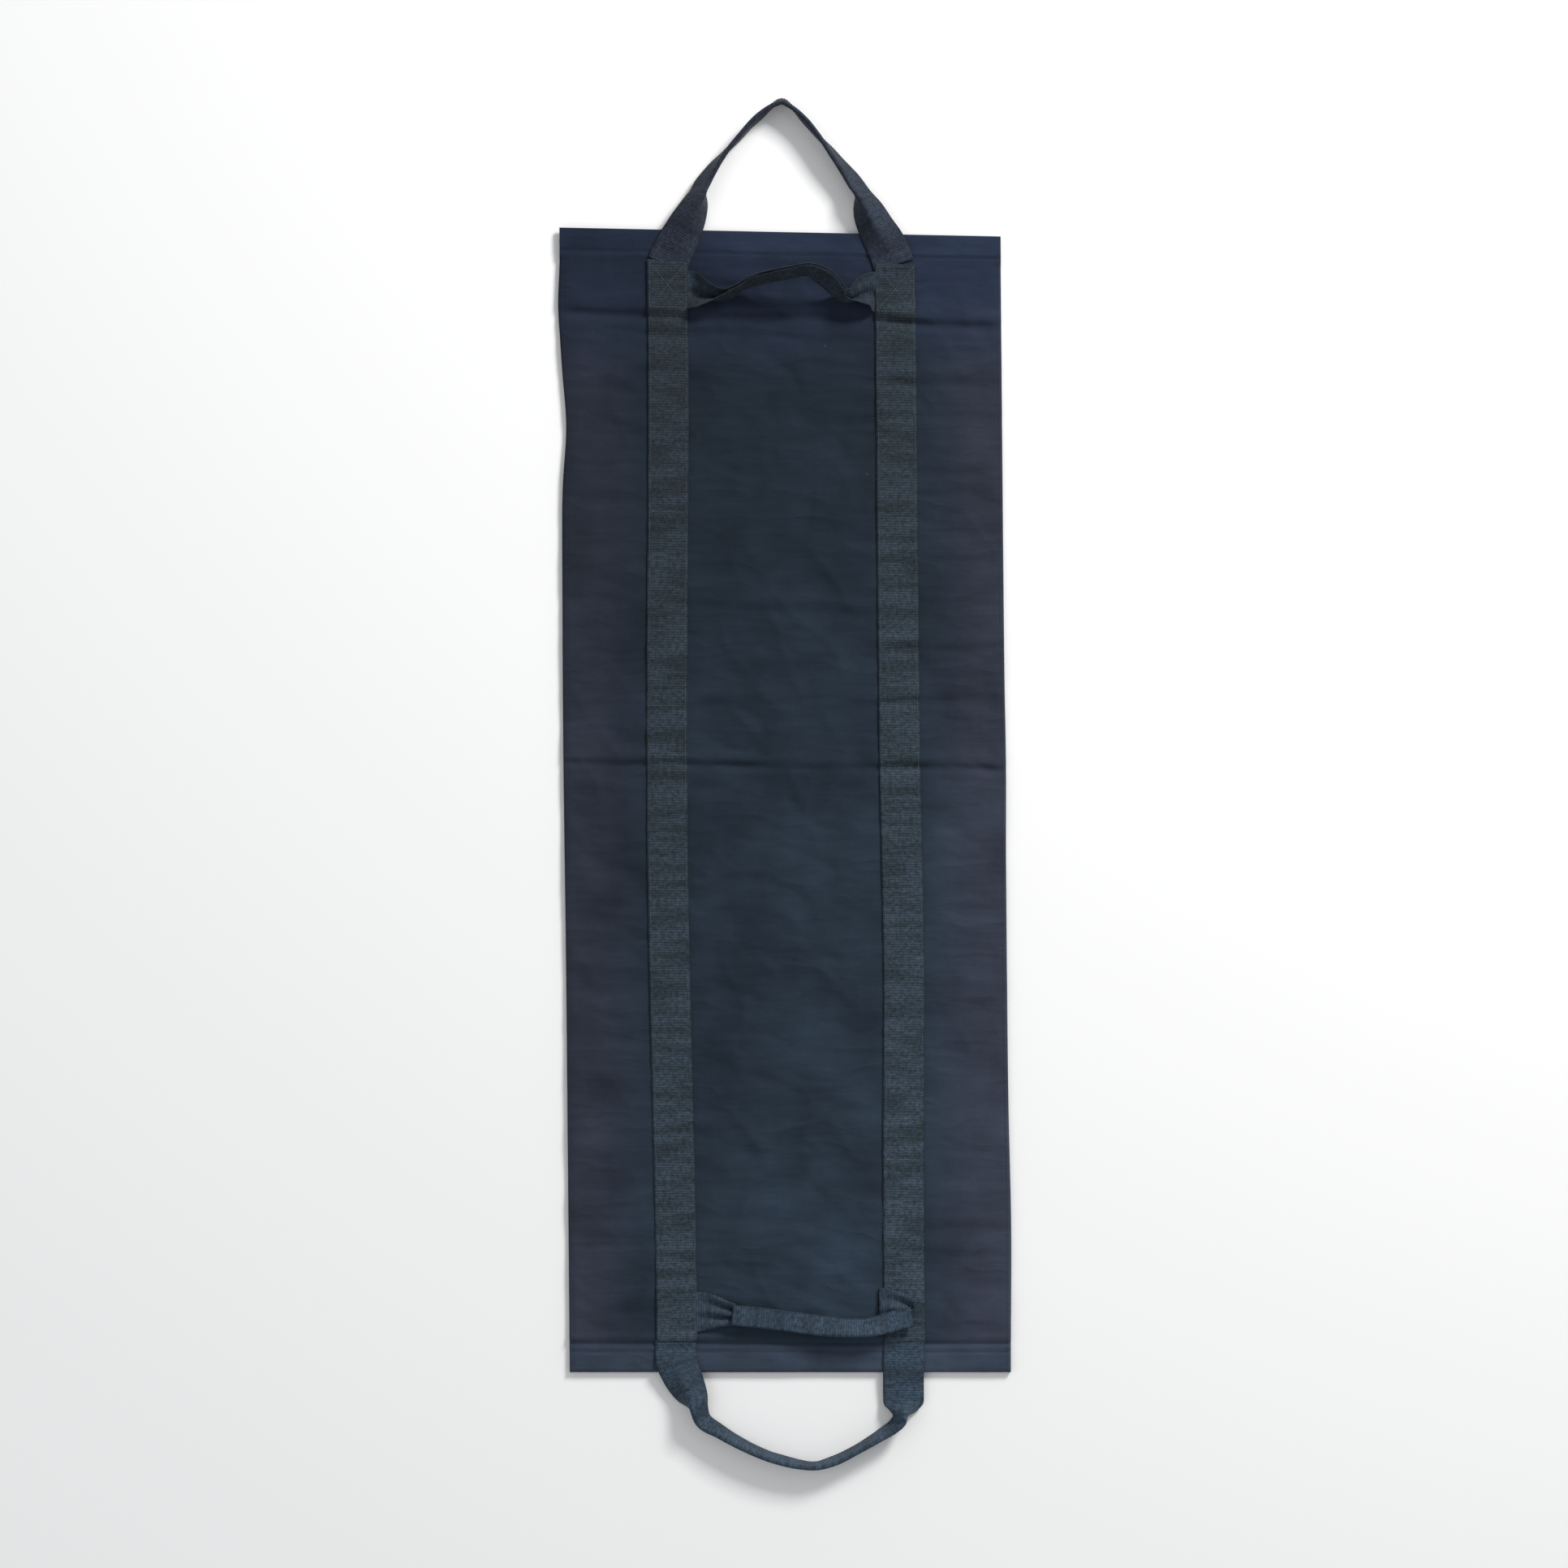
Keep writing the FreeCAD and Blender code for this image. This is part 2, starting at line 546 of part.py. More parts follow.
os.makedirs("parts", exist_ok=True)
for part in parts:
    shape = part.Shape
    if shape.isNull() or not shape.isValid() or not shape.Solids:
        raise RuntimeError(f"{part.Label} has no valid solid")
    shape.exportStep(f"parts/{part.Label}.step")
    box = shape.BoundBox
    print(f"{part.Label}: {len(shape.Solids)} solids, {shape.Volume:.0f} mm3,",
          f"z {box.ZMin:.2f} to {box.ZMax:.2f}")
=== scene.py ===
import json
import math

import bpy
import numpy as np
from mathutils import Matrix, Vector


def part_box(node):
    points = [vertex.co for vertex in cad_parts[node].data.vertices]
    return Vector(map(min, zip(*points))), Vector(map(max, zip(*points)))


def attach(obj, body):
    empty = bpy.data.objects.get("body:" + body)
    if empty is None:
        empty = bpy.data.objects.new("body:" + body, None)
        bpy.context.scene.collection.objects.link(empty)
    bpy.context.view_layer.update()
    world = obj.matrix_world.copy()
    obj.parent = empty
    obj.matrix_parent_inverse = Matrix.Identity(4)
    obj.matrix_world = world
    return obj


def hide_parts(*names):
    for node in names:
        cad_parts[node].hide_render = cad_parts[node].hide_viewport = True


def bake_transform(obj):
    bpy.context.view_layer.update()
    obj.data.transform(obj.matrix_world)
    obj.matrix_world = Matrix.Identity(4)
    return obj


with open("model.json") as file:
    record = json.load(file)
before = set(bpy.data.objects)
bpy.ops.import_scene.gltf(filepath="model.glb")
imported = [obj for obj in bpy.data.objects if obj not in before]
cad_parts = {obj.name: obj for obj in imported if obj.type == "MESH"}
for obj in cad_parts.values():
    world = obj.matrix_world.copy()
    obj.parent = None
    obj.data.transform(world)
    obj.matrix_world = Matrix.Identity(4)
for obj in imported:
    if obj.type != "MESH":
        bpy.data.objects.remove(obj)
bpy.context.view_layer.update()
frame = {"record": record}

bl_info = {
    "name": "Sandbag",
    "version": (1, 0, 0),
    "blender": (4, 5, 0),
    "location": "3D View > Sidebar > Sandbag",
    "description": "An empty canvas sandbag with webbing straps, carry loops and grab handles",
    "category": "Add Mesh",
}

MM = 0.001

# The hinge lines that cloth and webbing bend about, in millimetres.
HINGE = {j["name"]: [v / MM for v in j["pos_m"]] for j in frame["record"]["behaviour"]["joints"]}
FOLD_Y = HINGE["bag_fold"][1]
LIP_Y = HINGE["mouth_lip_open"][1]

# The flat design, in millimetres from the bag's middle: the front panel, the mouth's hem, the
# straps, the crossed boxes at their ends and the hem of the closed end.
HALF_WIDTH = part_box("front_panel_upper")[1].x / MM
HALF_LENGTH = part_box("front_panel_upper")[1].y / MM
FACE_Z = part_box("front_panel_upper")[1].z / MM
MOUTH_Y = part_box("top_hem_stitching")[0].y / MM
STRAP_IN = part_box("right_strap_upper")[0].x / MM
STRAP_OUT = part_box("right_strap_upper")[1].x / MM
STRAP_X = (STRAP_IN + STRAP_OUT) / 2
STRAP_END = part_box("right_strap_upper")[1].y / MM
BOX_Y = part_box("top_box_stitching")[0].y / MM
HEM_Y = sum(corner.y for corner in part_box("bottom_hem_stitching")) / 2 / MM

# Where the cloth and the webbing change: a second row on the closed end's hem, the step of each
# strap's end over the handle sewn in under it, and the rows of stitches in from an edge.
HEM_ROW_Y = HEM_Y - 7.7
STEP_Y = STRAP_END - 53.5
STRAP_ROW = (STRAP_OUT - STRAP_IN) / 2 - 2.1
ROW_END = STEP_Y + 0.5
SIDE_ROW = HALF_WIDTH - 4.2

# Heights: how far a piece stands off what it lies on and a thread off its cloth, the top of the
# back cloth, its thickness, and what a turned-in hem or a strap's turned end adds.
CLEAR = 0.12
THREAD_UP = 0.02
BACK_TOP = 1.35
BACK_PLY = 0.9
HEM_PLY = 0.8

# Pressed folds across the cloth: along, slope, depth, width, from, to, seed.
CREASES = (
    (451, 0.0, 2.8, 4.4, -240, 100, 11), (457, -0.07, 2.8, 4.2, 80, 240, 22),
    (431, -0.02, 1.1, 4.5, -150, 90, 12), (FOLD_Y, -0.005, 2.1, 4.0, -240, 240, 13),
    (178, -0.03, 1.7, 4.6, -100, 90, 14), (143, 0.01, 1.5, 4.2, 70, 240, 15),
    (88, 0.06, 1.5, 4.2, 40, 190, 16), (394, -0.03, 1.5, 4.6, 90, 240, 17),
    (312, -0.02, 1.0, 4.6, 90, 240, 24), (-385, 0.05, 1.0, 7.0, -110, 60, 18),
    (-420, 0.0, 0.9, 4.6, 100, 230, 19), (400, 0.02, 1.1, 6.0, -240, -100, 20),
    (92, 0.05, 1.3, 4.2, -95, -30, 21), (478, 0.02, 1.4, 6.0, -84, 84, 23),
)


# ---------------- settings


def length(name, description, default, low, high):
    """A property for a length in metres."""
    return bpy.props.FloatProperty(name=name, description=description, default=default,
                                   min=low, max=high, unit="LENGTH", subtype="DISTANCE")


class SandbagSizes(bpy.types.PropertyGroup):
    """Sizes of cloth, webbing and thread that can be changed."""

    cloth: length("Canvas", "Thickness of one layer of canvas", 0.001, 0.0003, 0.003)
    web: length("Webbing", "Thickness of the webbing", 0.0015, 0.0008, 0.003)
    web_width: length("Webbing width", "Width of the webbing, laid flat",
                      round(STRAP_OUT - STRAP_IN, 3) * MM, 0.02, 0.06)
    wrinkle: bpy.props.FloatProperty(
        name="Wrinkles", description="How strongly the empty cloth is creased, 1 as it lies",
        default=1.0, min=0.0, max=2.0, subtype="FACTOR")
    stitch: length("Stitch pitch", "From one stitch to the next", 0.0027, 0.0015, 0.006)
    thread: length("Thread", "Thickness of the sewing thread", 0.0006, 0.0003, 0.0012)
    weave: length("Canvas thread pitch", "From one thread of the plain weave to the next",
                  0.0006, 0.0003, 0.002)
    rib: length("Webbing rib pitch", "From one cross rib of the webbing to the next",
                0.0024, 0.001, 0.005)


def colour(name, description, r, g, b):
    """A colour property, given as the eye sees it, 0 to 255, and stored as linear light."""
    linear = [((v / 255 + 0.055) / 1.055) ** 2.4 for v in (r, g, b)]
    return bpy.props.FloatVectorProperty(
        name=name, description=description, default=linear, size=3, min=0, max=1, subtype="COLOR")


class SandbagColours(bpy.types.PropertyGroup):
    """Colours of cloth, webbing, thread and tape."""

    canvas: colour("Canvas", "Canvas between the straps", 37, 48, 60)
    canvas_side: colour("Canvas, sides", "Canvas outside the straps", 48, 53, 66)
    canvas_end: colour("Canvas, mouth end", "Canvas near the mouth", 44, 55, 76)
    canvas_hem: colour("Canvas, closed end", "Canvas of the hem at the closed end", 50, 59, 73)
    webbing: colour("Webbing", "Raised ribs of the webbing", 49, 61, 72)
    webbing_low: colour("Webbing, rubbed", "Flattened stretches of the webbing", 40, 52, 60)
    handle: colour("Carry handles", "Webbing of the carry handles", 52, 62, 79)
    handle_low: colour("Carry handles, rubbed", "Flattened stretches of the carry handles", 46, 56, 72)
    grab: colour("Grab handles", "Webbing of the grab handles", 46, 60, 74)
    grab_low: colour("Grab handles, rubbed", "Flattened stretches of the grab handles", 41, 54, 66)
    thread: colour("Strap thread", "Thread of the straps and boxes", 73, 87, 98)
    hem_thread: colour("Hem thread", "Thread of the hems, sides and grips", 41, 50, 62)
    hook: colour("Hook tape", "Hook side of the mouth's closure", 26, 28, 32)
    loop: colour("Loop tape", "Loop side of the mouth's closure", 30, 33, 38)
    floor: colour("Floor", "The pale floor", 254, 254, 254)


# ---------------- shapes


def ease(t):
    """0 below 0, 1 above 1, and three squares less two cubes between."""
    t = np.clip(t, 0, 1)
    return t * t * (3 - 2 * t)


def bell(d, width):
    """A bump of height 1 that falls off as e to the minus square of distance over width."""
    return np.exp(-((d / width) ** 2))


def rough(x, y, cell_x, cell_y, seed):
    """Random heights from -1 to 1 on a lattice of cells, eased from one lattice point to the next."""
    table = np.random.default_rng(seed).uniform(-1, 1, (61, 61))
    u, v = np.asarray(x) / cell_x + 30.3, np.asarray(y) / cell_y + 30.7
    i, j = np.floor(u).astype(int), np.floor(v).astype(int)
    a, b = ease(u - i), ease(v - j)
    low = table[i % 61, j % 61] * (1 - a) + table[(i + 1) % 61, j % 61] * a
    high = table[i % 61, (j + 1) % 61] * (1 - a) + table[(i + 1) % 61, (j + 1) % 61] * a
    return low * (1 - b) + high * b


def crease(x, y, at, slope, depth, width, low, high, seed):
    """A pressed fold across the cloth: a valley along a slightly wandering line with a ridge on its
    upper side, each a bell of the distance from the line, easing in and out at its two ends."""
    line = at + slope * x + 2.2 * rough(x, 0 * x, 45, 45, seed)
    d = y - line
    along = ease((x - low) / 30) * ease((high - x) / 30)
    along *= 1 + 0.6 * rough(x, 0 * x, 33, 33, seed + 1)
    return along * depth * (0.75 * bell(d - 1.9 * width, 1.7 * width) - bell(d, width))


def laid(x, y, z, hinged=False):
    """Points of the flat design, given across, along and up, as the bag lies on the floor: it leans
    over by a shift that grows along its length, its ends run slightly aslant, its side edges waver
    and the straps bow out past the middle. The plies that the back lip hinges on lose the slant at
    the hinge line, and only there."""
    run = np.clip(y / HALF_LENGTH, -1, 1)
    left = ease((HALF_WIDTH + x) / 75) * ease(-x / 80)
    right = ease((HALF_WIDTH - x) / 75) * ease(x / 80)
    sway = left * (1.2 - 4.8 * np.cos(np.clip((y + 20) / 480, -1, 1) * math.pi / 2) ** 2)
    sway += right * (0.6 + 2.4 * bell(y + 150, 140))
    edge = ease((-x - 128) / 70) * (4.5 * bell(y - 347, 45) - 2 * bell(y - 458, 30)
                                    - 0.9 * bell(y - 60, 150))
    edge += ease((x - 128) / 70) * (1.8 * bell(y + 400, 90) + 0.8 * bell(y - 40, 60))
    slant = 4.15 * (x / HALF_WIDTH) * ((y + HALF_LENGTH) / (2 * HALF_LENGTH))
    if hinged:
        slant *= np.clip(np.abs(y - LIP_Y) / (HALF_LENGTH - LIP_Y), 0, 1)
    return np.stack([x + 1 - 4.75 * run + sway + edge, y - slant, z], -1)


def rolled(distance, radius=4.5):
    """Drop of a turned edge, from 1 at the edge to 0 one radius inside it, as a quarter circle."""
    return 1 - np.sqrt(np.clip(1 - (1 - np.clip(distance / radius, 0, 1)) ** 2, 0, 1))


def face(x, y):
    """Height of the front cloth's upper side. It is the flat level, with the pressed creases, with
    puckers that die away from the straps' stitching, with broad waves and with a dip under the top
    grab handle's arch, all easing out at the hems. At the sides and the closed end it rolls down as a
    quarter circle, behind a sewn groove."""
    amount = bpy.context.scene.sandbag_sizes.wrinkle
    aside = np.minimum(np.abs(np.abs(x) - STRAP_IN), np.abs(np.abs(x) - STRAP_OUT))
    under = ease((np.abs(x) - STRAP_IN + 4) / 6) * ease((STRAP_OUT + 4 - np.abs(x)) / 6)
    free = 1 - under
    calm = ease((500 - y) / 18) * ease((y + 498) / 18)
    z = sum(crease(x, y, *fold) for fold in CREASES)
    pucker = 0.8 * rough(x, y, 46, 10, 31) + 0.8 * rough(x, y, 60, 16, 32)
    pucker += 0.6 * rough(x, y, 90, 31, 33)
    z += pucker * (0.12 + 1.3 * np.exp(-aside / 20)) * (0.4 + 0.6 * free)
    z -= 0.75 * bell(aside, 1.6) * free
    diagonal = rough(x + 0.8 * y, y - 0.5 * x, 105, 62, 41)
    crushed = (1 - np.abs(rough(x + 0.7 * y, y - 0.9 * x, 44, 78, 42))) ** 5
    crushed -= (1 - np.abs(rough(x - 0.5 * y, y + 0.4 * x, 62, 37, 46))) ** 5
    centre = ease((84 - np.abs(x)) / 40)
    outer = ease((np.abs(x) - 128) / 30)
    z += centre * (2.2 * diagonal + 1.0 * rough(x + y, y - x, 30, 22, 47)
                   + 0.25 * rough(x, y, 60, 12, 48))
    z += 1.6 * crushed * (centre + 0.6 * outer)
    z += outer * (1.7 * rough(x, y, 130, 30, 43) + 1.2 * rough(x, y, 70, 13, 44))
    z -= 1.8 * bell(x + 48, 16) * bell(y - 474, 12)
    z = 3.4 * np.tanh(z / 3.4)
    z *= calm * amount * (0.35 + 0.65 * ease((HALF_WIDTH - np.abs(x)) / 16))
    z += 0.35 * ease((y - MOUTH_Y) / 3) + 0.3 * ease((HEM_Y - y) / 3)
    z -= 0.75 * bell(y - MOUTH_Y, 1.5) + 1.3 * bell(y - HEM_Y, 1.7) + 0.8 * bell(y - HEM_ROW_Y, 1.5)
    z += 0.9 * bell(y - HEM_Y - 6, 3.5) * (1 + rough(x, y, 50, 80, 49))
    z += 0.25 * (ease((y - MOUTH_Y) / 6) + ease((HEM_Y - 5 - y) / 6)) * rough(x, y, 38, 60, 45)
    from_side = HALF_WIDTH - np.abs(x)
    closed = ease((MOUTH_Y - 2 - y) / 8)
    roll = rolled(from_side)
    z -= closed * (3.0 * roll + 0.45 * bell(from_side - 4.2, 0.9))
    z -= np.maximum(3.0 * rolled(y + HALF_LENGTH) - closed * 3.0 * roll, 0)
    return FACE_Z + z


def strap_lift(y):
    """Height of the strap's middle above the cloth: half its thickness, and one ply more where
    its end is turned back over the handle."""
    web = bpy.context.scene.sandbag_sizes.web / MM
    return web / 2 + HEM_PLY * ease((np.abs(y) - STEP_Y) / 3)


def distances(line):
    """How far along a line of points each point is."""
    return np.r_[0, np.cumsum(np.linalg.norm(np.diff(line, axis=0), axis=1))]


def through(rows, step):
    """A smooth line through control rows: a cubic between each two, whose slopes are those of the
    neighbouring rows over the plan distance along the line. Returns evenly spaced rows."""
    rows = np.array(rows, float)
    run = distances(rows[:, :3])
    slope = np.gradient(rows, run, axis=0)
    t = np.linspace(0, run[-1], max(2, int(run[-1] / step)))
    i = np.clip(np.searchsorted(run, t, side="right") - 1, 0, len(run) - 2)
    h = (run[i + 1] - run[i])[:, None]
    u = (t - run[i])[:, None] / h
    return ((1 + 2 * u) * (1 - u) ** 2 * rows[i] + u * (1 - u) ** 2 * h * slope[i]
            + u * u * (3 - 2 * u) * rows[i + 1] + u * u * (u - 1) * h * slope[i + 1])


def across(width):
    """Places across half a webbing: close at the middle, where it folds, and at the selvedge."""
    half = np.r_[0, 0.7, 1.4, 2.1, 3.0, 4.2, np.linspace(5.6, width / 2 - 2.2, 5),
                 width / 2 - 1.1, width / 2 - 0.5, width / 2 - 0.15, width / 2]
    return np.r_[-half[:0:-1], half]


# The columns of such a webbing that its rows of stitches run along.
EDGE_COLUMNS = (3, -4)


def webbing(line, up, fold, roll, rest=None, gather=None, seed=0):
    """Webbing carried along a line. Its section is its middle line, whose two halves turn down by
    fold quarter turns about a soft bend; the section turns about the line by roll degrees from up,
    and, where rest is given, its lowest point sits at that height. Gather adds a sine of the place
    across to the turning, which puts the width into small pleats. Each side is half a thickness off
    the middle, less at the rounded selvedges. Returns both sides and the place along and across."""
    sizes = bpy.context.scene.sandbag_sizes
    width, half = sizes.web_width / MM, sizes.web / MM / 2
    w = across(width)[None, :]
    fold = np.clip(fold, 0, 1)[:, None]
    wobble = 1 + 0.03 * rough(np.arange(len(line))[:, None], w, 9, 12, seed + 70)
    turn = np.sign(w) * fold * wobble * math.pi / 2 * ease(np.abs(w) / 2.3)
    if gather is not None:
        turn = turn + gather[:, None] * np.sin(2.5 * 2 * math.pi * w / width + 0.6)
    dw = np.diff(w, axis=1)
    mean_turn = (turn[:, 1:] + turn[:, :-1]) / 2
    first = np.zeros((len(line), 1))
    side = np.hstack([first, np.cumsum(np.cos(mean_turn) * dw, axis=1)])
    side -= side[:, w.shape[1] // 2][:, None]
    drop = np.hstack([first, np.cumsum(-np.sin(mean_turn) * dw, axis=1)])
    drop -= drop.mean(axis=1, keepdims=True)
    past = np.clip((np.abs(w) - width / 2 + half) / half, 0, 0.92)
    thick = half * np.sqrt(1 - past ** 2)
    out_side, out_drop = np.sin(turn) * thick, np.cos(turn) * thick
    tangent = np.gradient(line, axis=0)
    tangent /= np.linalg.norm(tangent, axis=1, keepdims=True)
    s = np.cross(tangent, up)
    s /= np.linalg.norm(s, axis=1, keepdims=True)
    n = np.cross(s, tangent)
    a = np.radians(roll)[:, None]
    s, n = np.cos(a) * s + np.sin(a) * n, np.cos(a) * n - np.sin(a) * s
    at = lambda p, q: line[:, None] + p[..., None] * s[:, None] + q[..., None] * n[:, None]
    upper, lower = at(side + out_side, drop + out_drop), at(side - out_side, drop - out_drop)
    if rest is not None:
        lift = rest - np.minimum(upper[..., 2].min(axis=1), lower[..., 2].min(axis=1))
        upper[..., 2] += lift[:, None]
        lower[..., 2] += lift[:, None]
    uv = np.stack(np.broadcast_arrays(distances(line)[:, None], w), -1)
    return upper, lower, uv


# ---------------- meshes


def put(name, points, quads, uv=None):
    """A mesh object from points in millimetres and quads, turned so that its faces point out."""
    a, b, c, d = (points[quads[:, k]] for k in range(4))
    if np.sum(np.cross(b - a, c - a) * (a + b + c) + np.cross(c - a, d - a) * (a + c + d)) < 0:
        quads = quads[:, ::-1]
    mesh = bpy.data.meshes.new(name)
    mesh.vertices.add(len(points))
    mesh.vertices.foreach_set("co", (points * MM).astype(np.float32).ravel())
    mesh.loops.add(quads.size)
    mesh.loops.foreach_set("vertex_index", quads.astype(np.int32).ravel())
    mesh.polygons.add(len(quads))
    mesh.polygons.foreach_set("loop_start", np.arange(0, quads.size, 4, dtype=np.int32))
    mesh.update(calc_edges=True)
    mesh.polygons.foreach_set("use_smooth", np.ones(len(quads), bool))
    if uv is not None:
        layer = mesh.uv_layers.new(name="Fabric")
        layer.data.foreach_set("uv", (uv[quads.ravel()] * MM).astype(np.float32).ravel())
    mesh.validate()
    made = bpy.data.objects.new(name, mesh)
    bpy.context.scene.collection.objects.link(made)
    return made


def shell(name, upper, lower, uv=None):
    """A closed sheet between an upper and a lower grid of points, joined round its rim."""
    n, m = upper.shape[:2]
    points = np.concatenate([upper.reshape(-1, 3), lower.reshape(-1, 3)])
    top = np.arange(n * m).reshape(n, m)
    low = top + n * m
    grid = lambda g: np.stack([g[:-1, :-1], g[1:, :-1], g[1:, 1:], g[:-1, 1:]], -1).reshape(-1, 4)
    rim = lambda p, q: np.stack([p[:-1], p[1:], q[1:], q[:-1]], -1)
    quads = np.concatenate([
        grid(top), grid(low)[:, ::-1],
        rim(top[0, ::-1], low[0, ::-1])[:, ::-1], rim(top[-1], low[-1])[:, ::-1],
        rim(top[:, 0], low[:, 0])[:, ::-1], rim(top[::-1, -1], low[::-1, -1])[:, ::-1],
    ])
    if uv is not None:
        uv = np.concatenate([uv.reshape(-1, 2)] * 2)
    return put(name, points, quads, uv)


def stitches(name, places, ahead, out):
    """Stitches as short rounded beads: four rings of four points, wide in the middle and narrow at
    the ends, one bead at each place, lying along ahead and standing out of the cloth along out."""
    sizes = bpy.context.scene.sandbag_sizes
    radius = sizes.thread / MM / 2
    length = 0.39 * sizes.stitch / MM
    ahead = ahead / np.linalg.norm(ahead, axis=1, keepdims=True)
    side = np.cross(ahead, out)
    side /= np.linalg.norm(side, axis=1, keepdims=True)
    out = np.cross(side, ahead)
    t = np.repeat([-1.0, -0.55, 0.55, 1.0], 4)
    r = np.repeat([0.45, 1.0, 1.0, 0.45], 4) * radius
    a = np.tile(np.arange(4), 4) * math.pi / 2
    bow = 0.12 - 0.32 * t * t
    local = sum(amount[None, :, None] * way[:, None] for amount, way in
                ((t * length, ahead), (r * np.cos(a), side), (r * np.sin(a) + bow, out)))
    points = (places[:, None] + local).reshape(-1, 3)
    k = np.arange(4)
    ring = np.concatenate([np.stack([j * 4 + k, j * 4 + (k + 1) % 4, (j + 1) * 4 + (k + 1) % 4,
                                     (j + 1) * 4 + k], -1) for j in range(3)]
                          + [[[3, 2, 1, 0]], [[12, 13, 14, 15]]])
    quads = (ring[None] + 16 * np.arange(len(places))[:, None, None]).reshape(-1, 4)
    return put(name, points, quads)


def seam(x0, y0, x1, y1, height, pitch):
    """A straight row on the bag from one place to another: evenly spaced stitches on the surface
    that height gives, then laid as the bag lies. Returns places, directions and outward normals."""
    count = max(2, int(math.hypot(x1 - x0, y1 - y0) / pitch))
    t = (np.arange(count) + 0.5) / count

    def at(u, dx=0, dy=0):
        """Points on the surface at shares of the row, or a little aside from them."""
        x, y = x0 + (x1 - x0) * u + dx, y0 + (y1 - y0) * u + dy
        return laid(x, y, height(x, y))

    step = 0.4 / count
    ahead = at(t + step) - at(t - step)
    normal = np.cross(at(t, 0.5) - at(t, -0.5), at(t, 0, 0.5) - at(t, 0, -0.5))
    return at(t), ahead, normal


def seam_on(upper, lower, column, inset, pitch):
    """A row along one column of a webbing's surface, at even distances along it and short of its
    two ends by inset, with the outward normal taken from the lower side to the upper."""
    line = upper[:, column]
    out = line - lower[:, column]
    run = distances(line)
    t = np.arange(inset, run[-1] - inset, pitch)
    pick = lambda values, s: np.stack([np.interp(s, run, values[:, k]) for k in range(3)], -1)
    return pick(line, t), pick(line, t + 0.4) - pick(line, t - 0.4), pick(out, t)


def sewn(name, rows):
    """One object from several rows of stitches."""
    return stitches(name, *(np.concatenate([row[k] for row in rows]) for k in range(3)))


# ---------------- materials


class Value:
    """A node's result that can be reckoned with: a sum or product of such values is a Math node."""

    def __init__(self, socket):
        self.socket = socket
        self.tree = socket.id_data

    def __getitem__(self, key):
        """Another result of the same node."""
        return Value(self.socket.node.outputs[key])

    def into(self, target):
        """Joins this value to a node's input."""
        self.tree.links.new(self.socket, target)

    def maths(self, operation, *others):
        """The result of a Math node on this value and others."""
        return add(self.tree, "ShaderNodeMath", enumerate((self, *others)), operation=operation)

    def ramp(self, *limits, smooth=False):
        """This value from the first two limits put on the next two, or on 0 and 1, and held there."""
        return add(self.tree, "ShaderNodeMapRange", enumerate((self, *limits)),
                   interpolation_type="SMOOTHSTEP" if smooth else "LINEAR")

    def __add__(self, other):
        return self.maths("ADD", other)

    def __sub__(self, other):
        return self.maths("SUBTRACT", other)

    def __mul__(self, other):
        return self.maths("MULTIPLY", other)

    def __truediv__(self, other):
        return self.maths("DIVIDE", other)

    def __abs__(self):
        return self.maths("ABSOLUTE")

    def odd(self):
        """1 where the whole part of this value is odd, 0 where it's even."""
        return abs(self.maths("FLOOR").maths("MODULO", 2.0))


def add(tree, kind, values=(), **settings):
    """A new node's first result, with the node's settings, and its inputs set or joined."""
    made = tree.nodes.new(kind)
    for key, value in settings.items():
        setattr(made, key, value)
    for key, value in dict(values).items():
        if isinstance(value, Value):
            value.into(made.inputs[key])
        else:
            made.inputs[key].default_value = value
    return Value(made.outputs[0])


def noise(at, scale, detail=2.0, roughness=0.5):
    """A Noise Texture at a vector."""
    return add(at.tree, "ShaderNodeTexNoise",
               {"Vector": at, "Scale": scale, "Detail": detail, "Roughness": roughness})


def cells(at, scale, randomness):
    """A Voronoi Texture at a vector."""
    return add(at.tree, "ShaderNodeTexVoronoi",
               {"Vector": at, "Scale": scale, "Randomness": randomness})


def stretched(at, scale, turn=0.0):
    """A vector turned about its third axis, then with each axis scaled on its own."""
    return add(at.tree, "ShaderNodeMapping", {0: at, 2: (0, 0, turn), 3: scale})


def vector_maths(operation, first, *others):
    """The result of a Vector Math node."""
    return add(first.tree, "ShaderNodeVectorMath", enumerate((first, *others)), operation=operation)


def parts(at):
    """The first and second part of a vector."""
    split = add(at.tree, "ShaderNodeSeparateXYZ", {0: at})
    return split[0], split[1]


FLOAT, VECTOR = "NodeSocketFloat", "NodeSocketVector"
YARN_PITCH = 0.0011
LINT = (0.16, 0.17, 0.19, 1.0)


def group(name, inputs):
    """An empty node group with named inputs, and its inner input node."""
    made = bpy.data.node_groups.new(name, "ShaderNodeTree")
    for label, kind, default in inputs:
        socket = made.interface.new_socket(name=label, in_out="INPUT", socket_type=kind)
        if default is not None:
            socket.default_value = default
    return made, Value(made.nodes.new("NodeGroupInput").outputs[0])


def give(made, **values):
    """Makes values a node group's outputs, and returns the group."""
    for label in values:
        made.interface.new_socket(name=label, in_out="OUTPUT", socket_type=FLOAT)
    out = made.nodes.new("NodeGroupOutput").inputs
    for label, value in values.items():
        value.into(out[label])
    return made


